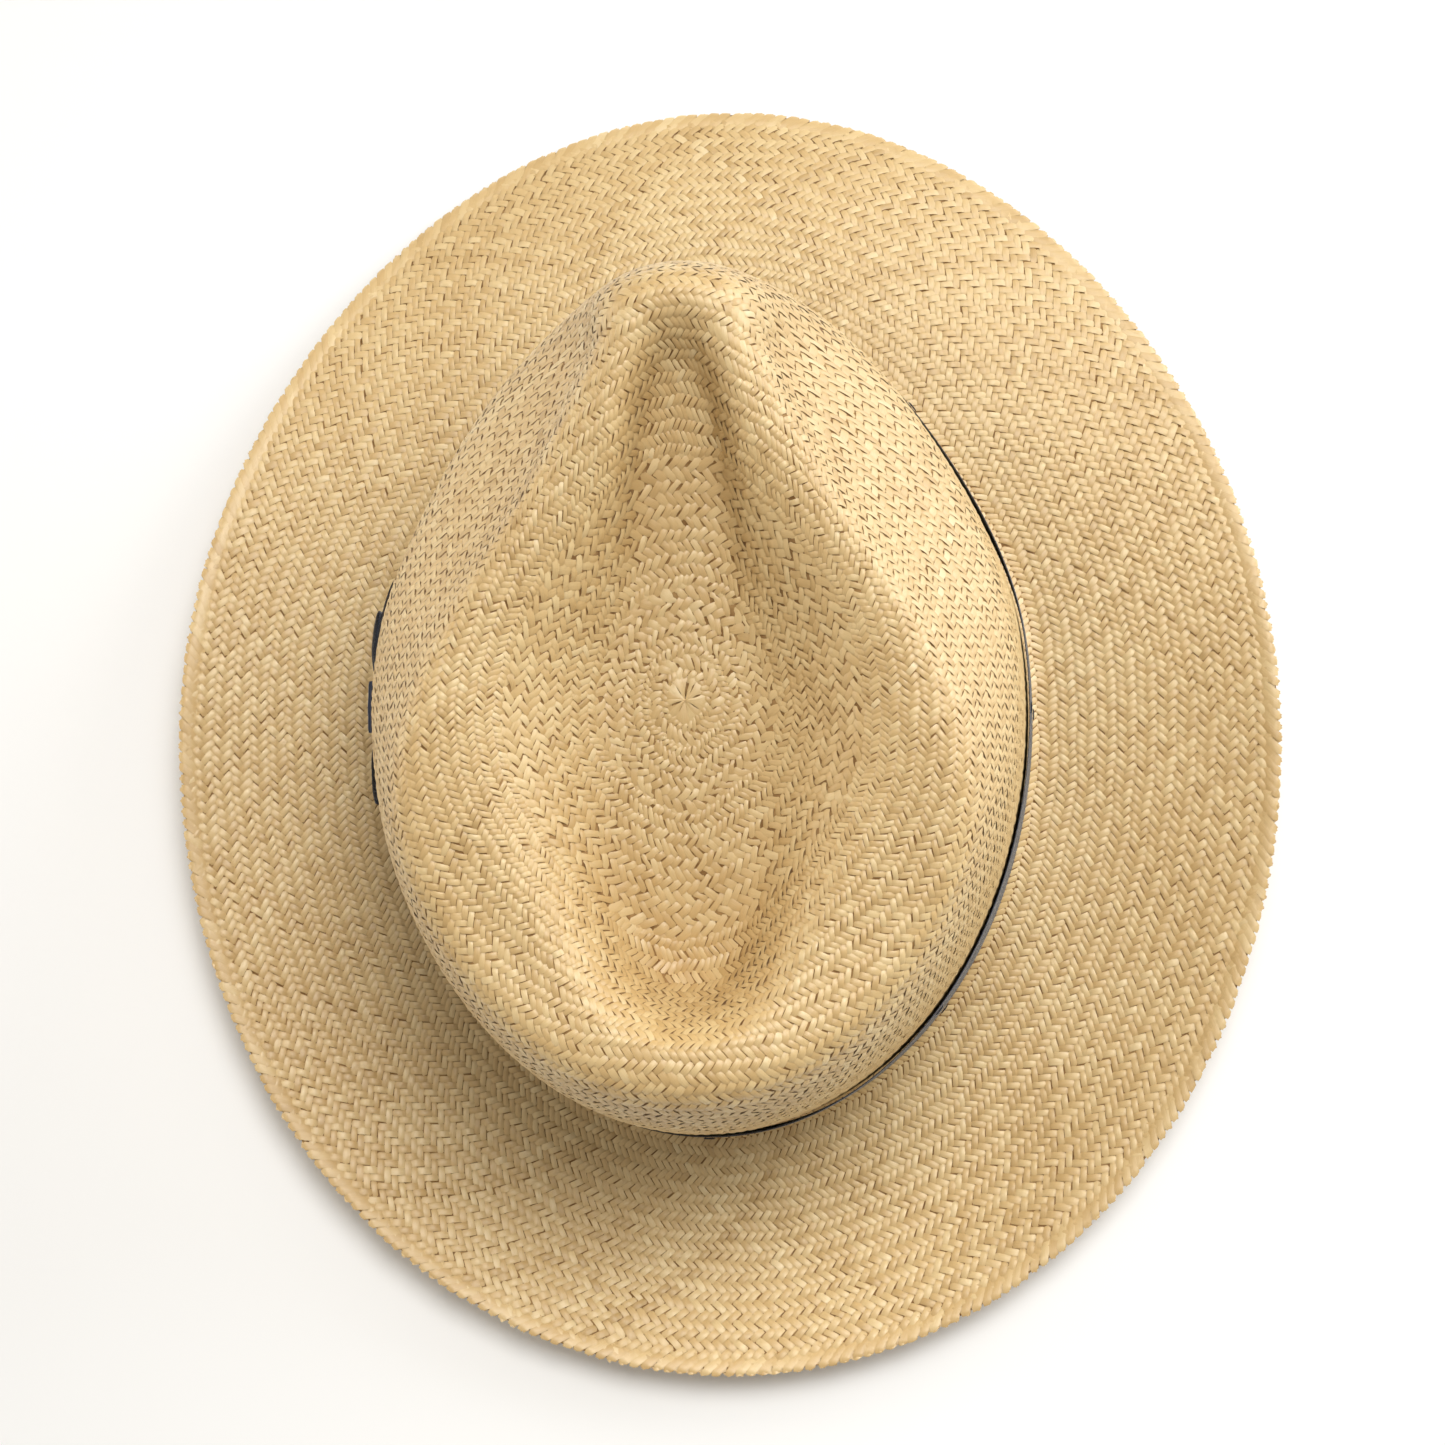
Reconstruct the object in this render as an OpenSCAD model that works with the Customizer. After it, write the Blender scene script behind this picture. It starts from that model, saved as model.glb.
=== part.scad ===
// Woven straw fedora with a teardrop crown, a ribbon band with a flat bow, and a leather sweatband.
// The hat rests on a flat surface on its front brim edge and its back brim; -Y is the front of the hat,
// +X the wearer's left, where the bow sits. All sizes in millimetres.

/* [Crown] */
// Half the width of the crown's foot, over the straw
base_half_x = 80.5; // [64:0.5:97]
// Half the length of the crown's foot, over the straw
base_half_y = 106; // [85:0.5:128]
// Height of the front peak above the brim break
front_h = 112; // [92:1:135]
// Height of the crown's side ridges
side_h = 101; // [84:1:122]
// Height of the crown's back
back_h = 100; // [86:1:125]
// How far the rim of the crown's top drops at its back quarters, below the line from side to back
quarter_fall = 5; // [0:0.5:8]
// Share of the half width where the shoulder starts to round over
top_share = 0.8; // [0.7:0.01:0.88]
// How square the shoulder is, 2 is a quarter circle
shoulder_power = 3.6; // [2:0.1:5]
// Share of its width that the crown loses towards the top
crown_taper = 0.03; // [0:0.005:0.08]
// Share of its half width that the crown's foot loses towards the front
front_narrow = 0.115; // [0:0.005:0.15]
// How far the front peak leans forward
front_lean = 3; // [0:0.5:8]
// How far the crown's top leans to the wearer's left
side_lean = 3.8; // [0:0.1:5]
// How far the crown's foot sits to the wearer's left of the brim's middle
base_shift = 2; // [0:0.5:5]
// Thickness of the woven straw
straw_t = 1.2; // [0.8:0.1:2]

/* [Teardrop dent] */
// Depth of the dent's floor below the side ridges, at the middle
dent_depth = 22; // [12:1:32]
// Half width of the dent's floor, as a share of the top's half width
floor_share_x = 0.36; // [0.25:0.01:0.45]
// Half length of the dent's floor, as a share of the top's half length
floor_share_y = 0.82; // [0.7:0.01:0.88]
// How square the floor's outline is, 2 is an ellipse
floor_power = 2.4; // [2:0.1:3]
// Fall of the floor towards the back, per millimetre
floor_fall = 0.06; // [0:0.01:0.12]
// Extra fall of the floor's back half, per square millimetre
floor_back_fall = 0.0012; // [0:0.0001:0.002]
// Extra rise of the floor's front half, per square millimetre
floor_front_rise = 0.0028; // [0:0.0001:0.004]
// Rise of the ridges that run from the dent's sides to its back
crest_rise = 5; // [0:0.5:8]
// How much further forward the dent opens at the front peak, as a share of the half length
nose_open = 0.1; // [0:0.01:0.12]
// How softly the floor meets the dent's walls
crease_soft = 0.2; // [0.08:0.01:0.3]
// Rise of the floor's middle above its rim
floor_bump = 2; // [0:0.5:4]

/* [Front pinch] */
// Share of its width that the crown's top loses at the front pinch
squeeze = 0.47; // [0.3:0.01:0.65]
// Distance from the crown's front back to where the squeeze starts to fade
pinch_inset = 18; // [10:1:35]
// Length over which the squeeze fades out
pinch_len = 132; // [110:1:160]
// Share of the squeeze that the rounded nose gives back
nose_share = 0.7; // [0:0.05:0.8]
// Gap from the band's top edge up to the foot of the pinch, at the front
pinch_gap = 22; // [10:1:30]
// How far the pinch's foot climbs from the front to the crown's middle
pinch_climb = 8; // [5:0.5:30]
// Height over which the pinch reaches its full depth
pinch_span = 38; // [26:1:60]
// Extra depth of the thumb hollow in each pinch
hollow_depth = 3; // [0:0.5:6]
// Distance from the crown's front back to the middle of the thumb hollows
hollow_inset = 62; // [45:1:75]
// Distance from the front peak down to the middle of the thumb hollows
hollow_down = 30; // [20:1:40]

/* [Brim] */
// Width of the brim at the front
brim_front_w = 59.5; // [45:0.5:75]
// Width of the brim at each side
brim_side_w = 62; // [45:0.5:75]
// Width of the brim at the back
brim_back_w = 62; // [45:0.5:75]
// How far the front edge is snapped down below the brim break
front_drop = 18; // [8:1:26]
// How far the side edges turn up
side_rise = 9; // [0:1:24]
// How far the back edge turns up
back_rise = 12; // [4:1:24]
// Dip of the back brim next to the crown
back_dip = 2.5; // [1:0.5:5]
// Radius of the brim break
break_r = 4; // [2:0.5:6]
// Share by which the brim is fuller towards the back
fuller_back = 0.027; // [0:0.001:0.05]

/* [Band and bow] */
// Height of the ribbon band
band_h = 33; // [20:1:45]
// Thickness of the ribbon band
band_t = 0.6; // [0.4:0.1:1]
// Thickness of the bow's ribbon
bow_t = 0.4; // [0.3:0.1:0.6]
// Angle round the crown of the bow's middle, 0 is the wearer's left and -90 the front
bow_angle = -1; // [-30:1:10]
// Width of the bow's knot
knot_w = 13; // [9:0.5:14]
// Half length of the bow's large loops
loop_len = 33; // [26:0.5:40]
// How far the tail reaches past the large loops
tail_out = 8; // [4:0.5:14]

/* [Sweatband] */
// Height of the sweatband
sweat_h = 36; // [28:1:44]
// Thickness of the sweatband's leather
sweat_t = 0.75; // [0.5:0.05:1.2]
// Diameter of the reed in the sweatband's lower edge
reed_d = 1.6; // [1.2:0.1:2.4]
// Thickness of the tape round the reed
tape_t = 0.25; // [0.2:0.05:0.4]
// Number of stitches through the reed's tape
stitch_count = 72; // [36:4:96]
// Width of the tape over the sweatband's closing seam
seam_w = 11; // [8:1:16]

/* [Hidden] */

// Facets round the crown, and the rings of each stretch of the straw
around = 72;
top_rings = 16;
shoulder_rings = 14;
break_rings = 3;
brim_rings = 8;

// Where the front pinch's nose and climb start, and the size of its thumb hollows
nose_y = 28 - base_half_y;
nose_len = 23;
// Where the foot starts to narrow towards the front, and over how much, by the sine of the angle
narrow_start = 0.17;
narrow_len = 0.76;
// The dent opens further forward beyond this sine of the angle
nose_start = 0.8;
climb_y = 16 - base_half_y;
hollow_y = hollow_inset - base_half_y;
hollow_z = front_h - hollow_down;
hollow_len = 26;
hollow_high = 20;
hollow_soft = 12;
// How quickly the thumb hollows set in below the shoulder's edge
edge_gain = 8;

// Curves of the brim: straight share of the front's fall, powers of the side's and back's rise,
// how fast the dip behind the crown comes and goes, and the share of the width that the break takes
front_straight = 0.35;
side_power = 1.7;
back_power = 2.2;
dip_gain = 1.2;
break_share = 0.075;

// Clearance between pieces that lie on each other
gap = 0.15;
// Clearance between layers of ribbon, and of trim on the sweatband
ply_gap = 0.15;
trim_gap = 0.2;
// Height of the band's lower edge above the brim break
band_z = break_r + 1;
band_top = band_z + band_h;
pinch_low = band_top + pinch_gap;

// Half extents of the brim's edge
brim_half_x = base_half_x + brim_side_w;
brim_half_front = base_half_y + brim_front_w;
brim_half_back = base_half_y + brim_back_w;

// Offsets of the bow's layers from the straw
band_out = gap + band_t;
lap_in = band_out + ply_gap;
ply_in = lap_in + bow_t + ply_gap;
loop_in = ply_in + bow_t + ply_gap + bow_t / 2;

// Offsets of the sweatband's pieces, inward from the straw's outer face
reed_r = reed_d / 2;
tape_in_r = reed_r + ply_gap;
tape_r = tape_in_r + tape_t;
reed_o = -(straw_t + gap + tape_r);
reed_z = break_r - reed_r;
sweat_foot_o = reed_o - tape_r - ply_gap;
sweat_top_o = -(straw_t + gap * 2.5);
sweat_top = reed_z + sweat_h;

straw_colour = [0.85, 0.73, 0.55];
ribbon_colour = [0.08, 0.1, 0.17];
leather_colour = [0.42, 0.27, 0.16];
tape_colour = [0.82, 0.78, 0.7];
thread_colour = [0.9, 0.86, 0.76];

function smooth(t) = let (u = max(0, min(1, t))) u * u * (3 - 2 * u);
function unit(v) = v / norm(v);

// One at the crown's two back quarters, nought at its sides, back and front
function back_quarter(a) = sin(a) > 0 ? pow(sin(2 * a), 2) : 0;

// Height of the crown's ridge at angle a
function ridge_h(a) = side_h * cos(a) * cos(a) + (sin(a) < 0 ? front_h : back_h) * sin(a) * sin(a)
                      - quarter_fall * back_quarter(a);

// Height share h of the shoulder and wall at plan share r, and the other way round
function shoulder(r) =
    let (e = max(0, min(1, (r - top_share) / (1 - top_share))))
    pow(1 - pow(e, shoulder_power), 1 / shoulder_power);
function wall_share(h) =
    top_share + (1 - top_share) * pow(1 - pow(h, shoulder_power), 1 / shoulder_power);

// Share of the width that the pinch takes at place y and height z
function pinch(y, z) =
    let (fade = 1 - smooth((y + base_half_y - pinch_inset) / pinch_len),
         nose = 1 - nose_share * smooth((nose_y - y) / nose_len),
         low = pinch_low + pinch_climb * max(0, min(1, 1 - y / climb_y)))
    squeeze * fade * nose * smooth((z - low) / pinch_span);

// Depth of the thumb hollow at place y and height z
function hollow(y, z) =
    hollow_depth * exp(-pow((y - hollow_y) / hollow_len, 2) - pow((z - hollow_z) / hollow_high, 2));

// How far the teardrop dent lowers the top at plan share r, angle a and place y
function dent(r, a, y) =
    let (rho = r / (top_share + nose_open * smooth((-sin(a) - nose_start) / (1 - nose_start))),
         rim = pow(pow(abs(cos(a)) / floor_share_x, floor_power)
                   + pow(abs(sin(a)) / floor_share_y, floor_power), -1 / floor_power),
         q0 = (rho - rim) / (1 - rim),
         q = max(0, min(1, (q0 + sqrt(q0 * q0 + crease_soft * crease_soft)) / 2)),
         floor_z = side_h - dent_depth - floor_fall * y - floor_back_fall * pow(max(0, y), 2)
                   + floor_front_rise * pow(min(0, y), 2)
                   + floor_bump * pow(max(0, 1 - pow(rho / rim, 2)), 2))
    rho < 1 ? (ridge_h(a) - floor_z) * (1 - sin(90 * q))
              - crest_rise * back_quarter(a) * pow(sin(180 * q), 2) : 0;

// Half width of the crown's foot at angle a
function foot_half_x(a) =
    base_half_x * (1 - front_narrow * smooth((-sin(a) - narrow_start) / narrow_len));

// Point of the crown's outer face from plan share r, height share h and angle a
function shaped(r, h, a) =
    let (k = 1 - crown_taper * h,
         x0 = foot_half_x(a) * r * cos(a) * k,
         y0 = base_half_y * r * sin(a) * k - front_lean * h * r * smooth(-sin(a)),
         z0 = break_r + (ridge_h(a) - break_r) * h,
         edge = max(0, min(1, edge_gain * (r - top_share) / (1 - top_share))),
         flank = x0 / norm([x0, hollow_soft]),
         pinched = x0 * (1 - pinch(y0, z0)) - edge * hollow(y0, z0) * flank)
    [pinched + side_lean * h + base_shift, y0, z0 - dent(r, a, y0)];

function crown_point(r, a) = shaped(r, shoulder(r), a);

// Point of the crown's wall at height z, with o millimetres outward
function out_dir(a) = unit([cos(a) / base_half_x, sin(a) / base_half_y, 0]);
function wall_point(z, a, o) =
    let (h = max(0, (z - break_r) / (ridge_h(a) - break_r)),
         p = shaped(wall_share(h), h, a))
    [p[0], p[1], z] + o * out_dir(a);

// Rise of the brim at share v of its width
function brim_rise(v, a) =
    let (f = smooth(-sin(a)),
         b = smooth(sin(a)),
         front = -front_drop * (front_straight * v + (1 - front_straight) * v * v),
         back = back_rise * pow(v, back_power) - back_dip * sin(180 * min(1, dip_gain * v)),
         side = side_rise * pow(v, side_power))
    front * f + back * b + side * (1 - f - b);

function brim_point(v, a) =
    let (half_y = sin(a) < 0 ? brim_half_front : brim_half_back,
         half_x = brim_half_x * (1 + fuller_back * sin(a)),
         foot = [foot_half_x(a) * cos(a) + base_shift, base_half_y * sin(a)],
         edge = [half_x * cos(a), half_y * sin(a)],
         reach = norm(edge - foot),
         d = reach * v,
         turn = max(0, 1 - d / break_r),
         fillet = break_r * (1 - sqrt(1 - turn * turn)),
         p = foot + (edge - foot) * v)
    [p[0], p[1], brim_rise(v, a) + fillet];

// Stations of the straw from the middle of the crown to the brim's edge; wall_even spreads the
// shoulder's stations evenly along its curve
wall_even = 0.77;
top_list = [for (i = [1:top_rings]) ["crown", top_share * i / top_rings]];
shoulder_list = [for (i = [1:shoulder_rings]) ["shoulder", 90 * i / shoulder_rings]];
break_list = [for (i = [1:break_rings]) ["brim", pow(i / break_rings, 1.5) * break_share]];
brim_list = [for (i = [1:brim_rings]) ["brim", break_share + (1 - break_share) * i / brim_rings]];
stations = concat(top_list, shoulder_list, break_list, brim_list);

function station_point(station, a) =
    let (value = station[1])
    station[0] == "crown" ? crown_point(value, a) :
    station[0] == "brim" ? brim_point(value, a) :
    let (h = pow(max(0, cos(value)), wall_even)) shaped(wall_share(h), h, a);

outer = [for (station = stations) [for (j = [0:around - 1]) station_point(station, 360 * j / around)]];
pole = crown_point(0, 0);

// Unit normal of a grid of rings, pointing out of the hat
function grid_normal(g, i, j) =
    let (last = len(g) - 1,
         round_dir = g[i][(j + 1) % around] - g[i][(j + around - 1) % around],
         down_dir = g[min(last, i + 1)][j] - (i == 0 ? pole : g[i - 1][j]))
    unit(cross(down_dir, round_dir));
inner = [for (i = [0:len(outer) - 1]) [for (j = [0:around - 1])
         outer[i][j] - straw_t * grid_normal(outer, i, j)]];

// The hat tips back until its front edge and its back brim touch the ground
back_low_v = 0.25;
pitch = atan((front_drop + brim_rise(back_low_v, 90)) / (brim_half_front + base_half_y
             + back_low_v * brim_back_w));
function tipped(p) = [p[0], p[1] * cos(pitch) + p[2] * sin(pitch), p[2] * cos(pitch) - p[1] * sin(pitch)];
resting = [for (ring = concat(outer, inner)) for (p = ring) tipped(p)];
lift = -min([for (p = resting) p[2]]);
middle_y = (min([for (p = resting) p[1]]) + max([for (p = resting) p[1]])) / 2;

module seated() {
    translate([0, -middle_y, lift])
        rotate([-pitch, 0, 0])
            children();
}

// Closed skin through rings, with a point at each end
module skin(first, rings, last) {
    n = len(rings[0]);
    m = len(rings);
    points = concat([first], [for (ring = rings) for (p = ring) p], [last]);
    tip = len(points) - 1;
    start_fan = [for (j = [0:n - 1]) [0, 1 + (j + 1) % n, 1 + j]];
    end_fan = [for (j = [0:n - 1]) [tip, 1 + (m - 1) * n + j, 1 + (m - 1) * n + (j + 1) % n]];
    sides = [for (i = [0:m - 2]) for (j = [0:n - 1])
        let (a = 1 + i * n + j, b = 1 + i * n + (j + 1) % n) each [[a, b, b + n], [a, b + n, a + n]]];
    polyhedron(points, concat(start_fan, sides, end_fan));
}

// Solid through sections of equal length; a closed one runs back into its start
module sweep(sections, closed = false) {
    n = len(sections[0]);
    m = len(sections);
    points = [for (section = sections) for (p = section) p];
    sides = [for (i = [0:m - (closed ? 1 : 2)]) for (j = [0:n - 1])
        let (k = (i + 1) % m, l = (j + 1) % n, a = i * n + j, b = i * n + l, c = k * n + l, d = k * n + j)
        each [[a, b, c], [a, c, d]]];
    caps = closed ? [] : concat([for (j = [1:n - 2]) [0, j + 1, j]],
                                [for (j = [1:n - 2]) [(m - 1) * n, (m - 1) * n + j, (m - 1) * n + j + 1]]);
    polyhedron(points, concat(sides, caps));
}

// Ring round the crown's wall; profile is a list of [outward, height]
module wall_ring(profile) {
    sweep([for (j = [0:around - 1]) [for (p = profile) wall_point(p[1], 360 * j / around, p[0])]],
          closed = true);
}

// Degrees round the crown for a length along the wall next to angle a
function along(s, a) = s / norm([base_half_x * sin(a), base_half_y * cos(a)]) * 180 / PI;
function at(s, o, z, a = bow_angle) = wall_point(z, a + along(s, a), o);

// Heights of the rows in which every layer of ribbon follows the wall from z0 to z1
rows = 4;
function row_heights(z0, z1, n = rows) = [for (i = [0:n]) z0 + (z1 - z0) * i / n];
function reversed(list) = [for (i = [len(list) - 1:-1:0]) list[i]];

// Section through a layer of ribbon, from the inner place p to the outer place q, each [along, outward]
function ply(p, q, z0, z1, a = bow_angle, n = rows) =
    concat([for (z = row_heights(z0, z1, n)) at(q[0], q[1], z, a)],
           [for (z = reversed(row_heights(z0, z1, n))) at(p[0], p[1], z, a)]);

// Flat patch on the wall from s0 to s1 and z0 to z1, between the outward distances o0 and o1
module patch(s0, s1, z0, z1, o0, o1) {
    steps = 8;
    sweep([for (i = [0:steps]) let (s = s0 + (s1 - s0) * i / steps) ply([s, o0], [s, o1], z0, z1)]);
}

// Stitch of length l and thickness t along the wall, o millimetres off it
module stitch(l, t, z, o, a) {
    sweep([for (s = [-l / 2, l / 2]) ply([s, o], [s, o + t], z - t / 2, z + t / 2, a, 1)]);
}

// Ribbon that follows a closed path of [along, outward] and stands from z0 to z1
function turn_dir(path, i) =
    let (n = len(path), d = unit(path[(i + 1) % n] - path[(i + n - 1) % n])) [d[1], -d[0]];
module ribbon_loop(path, z0, z1, t) {
    sweep([for (i = [0:len(path) - 1])
           let (n = turn_dir(path, i) * t / 2) ply(path[i] + n, path[i] - n, z0, z1)], closed = true);
}

// Both halves of a bow's loop from the points of its back half, with a point added on every stretch
function mirrored(half) =
    concat(half, [for (i = [len(half) - 2:-1:1]) [-half[i][0], half[i][1]]]);
function dense(path) =
    [for (i = [0:len(path) - 1]) each [path[i], (path[i] + path[(i + 1) % len(path)]) / 2]];

// Half loops of the bow: along the wall as a share of the loop's length, and outward from its back layer
large_half = [[0, 0], [0.3, 0], [0.6, 0], [0.88, 0.05], [0.96, 0.3], [1, 0.8], [0.96, 1.35], [0.86, 1.75],
              [0.6, 1.9], [0.36, 1.45], [0.21, 0.85], [0, 0.6]];
small_half = [[0, 1.2], [0.22, 1.5], [0.38, 2.05], [0.56, 2.45], [0.63, 2.52], [0.69, 2.62], [0.72, 2.95],
              [0.69, 3.28], [0.6, 3.35], [0.4, 2.95], [0.26, 2.2], [0.18, 2], [0, 1.85]];
function loop_path(half) = dense(mirrored([for (p = half) [p[0] * loop_len, p[1] + loop_in]]));
knot_out = loop_in + 2.5;

// Half widths of the lap that covers the band's joint, and of the bow's backing
lap_half = 16;
backing_half = 12;
// How far the small loops stop short of the band's edges, and the knot reaches past them
bow_edge = 1;

module straw_body() {
    color(straw_colour)
        seated()
            skin(pole, concat(outer, reversed(inner)), pole - [0, 0, straw_t]);
}

module hat_band() {
    heights = row_heights(band_z, band_top);
    color(ribbon_colour)
        seated()
            wall_ring(concat([for (z = heights) [band_out, z]], [for (z = reversed(heights)) [gap, z]]));
}

module band_lap() {
    color(ribbon_colour)
        seated()
            patch(-lap_half, lap_half, band_z, band_top, lap_in, lap_in + bow_t);
}

module bow_backing() {
    color(ribbon_colour)
        seated()
            patch(-backing_half, backing_half, band_z, band_top, ply_in, ply_in + bow_t);
}

module bow_tail() {
    start = backing_half + 0.5;
    end = loop_len + tail_out;
    notch = 5;
    steps = 8;
    heights = row_heights(band_z, band_top);
    // Place along the wall at share u of the tail, whose end is cut to a V
    function place(u, z) =
        start + u * (end - start - notch * (1 - abs(2 * (z - band_z) / band_h - 1)));
    color(ribbon_colour)
        seated()
            sweep([for (i = [0:steps])
                   concat([for (z = heights) at(place(i / steps, z), ply_in + bow_t, z)],
                          [for (z = reversed(heights)) at(place(i / steps, z), ply_in, z)])]);
}

module bow_loops() {
    color(ribbon_colour)
        seated()
            ribbon_loop(loop_path(large_half), band_z, band_top, bow_t);
}

module bow_top_loops() {
    color(ribbon_colour)
        seated()
            ribbon_loop(loop_path(small_half), band_z + bow_edge, band_top - bow_edge, bow_t);
}

module bow_knot() {
    // Path of [height, outward] over the bow's front, from below to above
    low = band_z - bow_edge;
    high = band_top + bow_edge;
    under = ply_in + bow_t + ply_gap;
    turn = 1.2;
    crown = 0.4;
    path = [[low, under], [low, knot_out - turn], [low + turn, knot_out],
            [(low + high) / 2, knot_out + crown], [high - turn, knot_out], [high, knot_out - turn],
            [high, under]];
    steps = 4;
    function out_side(i) =
        let (d = unit(path[min(len(path) - 1, i + 1)] - path[max(0, i - 1)])) [-d[1], d[0]];
    function across(q) = [for (i = [0:steps]) at(knot_w * (i / steps - 0.5), q[1], q[0])];
    color(ribbon_colour)
        seated()
            sweep([for (i = [0:len(path) - 1])
                   let (outside = across(path[i] + out_side(i) * bow_t))
                   concat(across(path[i]), reversed(outside))]);
}

module band_tacks() {
    tack_l = 3;
    tack_t = 0.4;
    inset = 1.2;
    angles = [-90, -135, 180, 135, 90, 45, -50];
    color(ribbon_colour)
        seated()
            for (a = angles, z = [band_z + inset, band_top - inset])
                stitch(tack_l, tack_t, z, band_out + ply_gap, a);
}

module sweatband() {
    color(leather_colour)
        seated()
            wall_ring([[sweat_foot_o - sweat_t, reed_z], [sweat_foot_o, reed_z],
                       [sweat_top_o, sweat_top], [sweat_top_o - sweat_t, sweat_top]]);
}

module sweatband_reed() {
    sides = 8;
    color([0.8, 0.76, 0.66])
        seated()
            wall_ring([for (i = [0:sides - 1]) [reed_o + reed_r * cos(360 * i / sides),
                                                reed_z + reed_r * sin(360 * i / sides)]]);
}

module reed_tape() {
    sides = 8;
    // The tape is open towards the sweatband, where its two edges meet the leather
    opening = 40;
    turns = [for (i = [0:sides]) 180 + opening / 2 + (360 - opening) * i / sides];
    color(tape_colour)
        seated()
            wall_ring(concat([for (t = turns) [reed_o + tape_r * cos(t), reed_z + tape_r * sin(t)]],
                             [for (i = [sides:-1:0]) [reed_o + tape_in_r * cos(turns[i]),
                                                      reed_z + tape_in_r * sin(turns[i])]]));
}

module sweatband_stitching() {
    stitch_l = 4.2;
    stitch_t = 0.4;
    // The stitches lie on the tape, this far round it from the sweatband
    turn = 60;
    reach = tape_r + stitch_t / 2 + ply_gap;
    stitch_o = reed_o - reach * cos(turn) - stitch_t / 2;
    stitch_z = reed_z - reach * sin(turn);
    color(thread_colour)
        seated()
            for (i = [0:stitch_count - 1])
                stitch(stitch_l, stitch_t, stitch_z, stitch_o, 360 * (i + 0.5) / stitch_count);
}

// Outward place of the sweatband's inner face at height z
function sweat_face(z) =
    sweat_foot_o + (sweat_top_o - sweat_foot_o) * (z - reed_z) / sweat_h - sweat_t;

// Flat patch on the sweatband's inner face, lift millimetres off it and t thick
module sweat_patch(s0, s1, z0, z1, off, t, a, steps = 4) {
    sweep([for (i = [0:steps]) let (s = s0 + (s1 - s0) * i / steps)
           [at(s, sweat_face(z0) - off - t, z0, a), at(s, sweat_face(z0) - off, z0, a),
            at(s, sweat_face(z1) - off, z1, a), at(s, sweat_face(z1) - off - t, z1, a)]]);
}

// The tape over the sweatband's closing seam, and the little bow sewn onto it
seam_t = 0.3;
bow_off = trim_gap + seam_t + trim_gap;
mini_z = reed_z + 6;
mini_knot_w = 3.2;
mini_h = 6;

module sweatband_seam_tape() {
    foot = 0.5;
    head = 1;
    color(leather_colour)
        seated()
            sweat_patch(-seam_w / 2, seam_w / 2, reed_z + foot, sweat_top - head, trim_gap, seam_t, 90);
}

module sweatband_bow() {
    // Two small loops of narrow ribbon, one each side of the knot
    start = mini_knot_w / 2 + 0.2;
    end = 9;
    flat_t = 0.5;
    puff_t = 1.4;
    // Share of the ribbon's width left where the knot pinches it
    pinched = 0.55;
    steps = 6;
    color(ribbon_colour)
        seated()
            for (side = [-1, 1])
                sweep([for (i = [0:steps])
                       let (u = side > 0 ? i / steps : 1 - i / steps,
                            s = side * (start + (end - start) * u),
                            top = bow_off + flat_t + puff_t * sin(27 + 135 * u),
                            half_h = mini_h / 2 * (pinched + (1 - pinched) * u),
                            face = sweat_face(mini_z))
                       [at(s, face - top, mini_z - half_h, 90),
                        at(s, face - bow_off, mini_z - half_h, 90),
                        at(s, face - bow_off, mini_z + half_h, 90),
                        at(s, face - top, mini_z + half_h, 90)]]);
}

module sweatband_bow_knot() {
    knot_h = 4;
    knot_t = 1.6;
    color(ribbon_colour)
        seated()
            sweat_patch(-mini_knot_w / 2, mini_knot_w / 2, mini_z - knot_h / 2, mini_z + knot_h / 2,
                        bow_off, knot_t, 90, 2);
}

module size_tag() {
    tag_s = 12;
    tag_w = 14;
    tag_z = reed_z + 9;
    tag_h = 18;
    color(tape_colour)
        seated()
            sweat_patch(tag_s, tag_s + tag_w, tag_z, tag_z + tag_h, trim_gap, tape_t, 90);
}

straw_body();
hat_band();
band_lap();
bow_backing();
bow_tail();
bow_loops();
bow_top_loops();
bow_knot();
band_tacks();
sweatband();
sweatband_reed();
reed_tape();
sweatband_stitching();
sweatband_seam_tape();
sweatband_bow();
sweatband_bow_knot();
size_tag();
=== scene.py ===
"""Looks of the woven straw fedora: real strands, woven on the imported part's own surface."""
import math

import bpy
import numpy as np
from mathutils import Matrix, Vector


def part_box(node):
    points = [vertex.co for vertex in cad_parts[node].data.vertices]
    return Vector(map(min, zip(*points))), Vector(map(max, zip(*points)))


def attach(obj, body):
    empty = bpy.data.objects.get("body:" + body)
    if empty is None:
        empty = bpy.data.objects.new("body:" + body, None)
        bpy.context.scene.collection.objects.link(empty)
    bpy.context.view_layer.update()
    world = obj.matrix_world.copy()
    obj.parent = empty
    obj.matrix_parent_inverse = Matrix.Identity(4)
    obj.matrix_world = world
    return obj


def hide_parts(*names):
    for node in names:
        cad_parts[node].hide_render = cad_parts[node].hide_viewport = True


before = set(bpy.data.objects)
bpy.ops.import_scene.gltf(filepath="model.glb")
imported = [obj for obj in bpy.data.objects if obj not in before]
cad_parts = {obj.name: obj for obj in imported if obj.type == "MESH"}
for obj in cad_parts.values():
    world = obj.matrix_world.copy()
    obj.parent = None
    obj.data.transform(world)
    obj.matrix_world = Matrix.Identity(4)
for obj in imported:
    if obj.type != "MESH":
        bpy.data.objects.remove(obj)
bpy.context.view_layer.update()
RANDOM = np.random.default_rng(7)
MM = 0.001
TAU = 2 * math.pi

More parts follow.
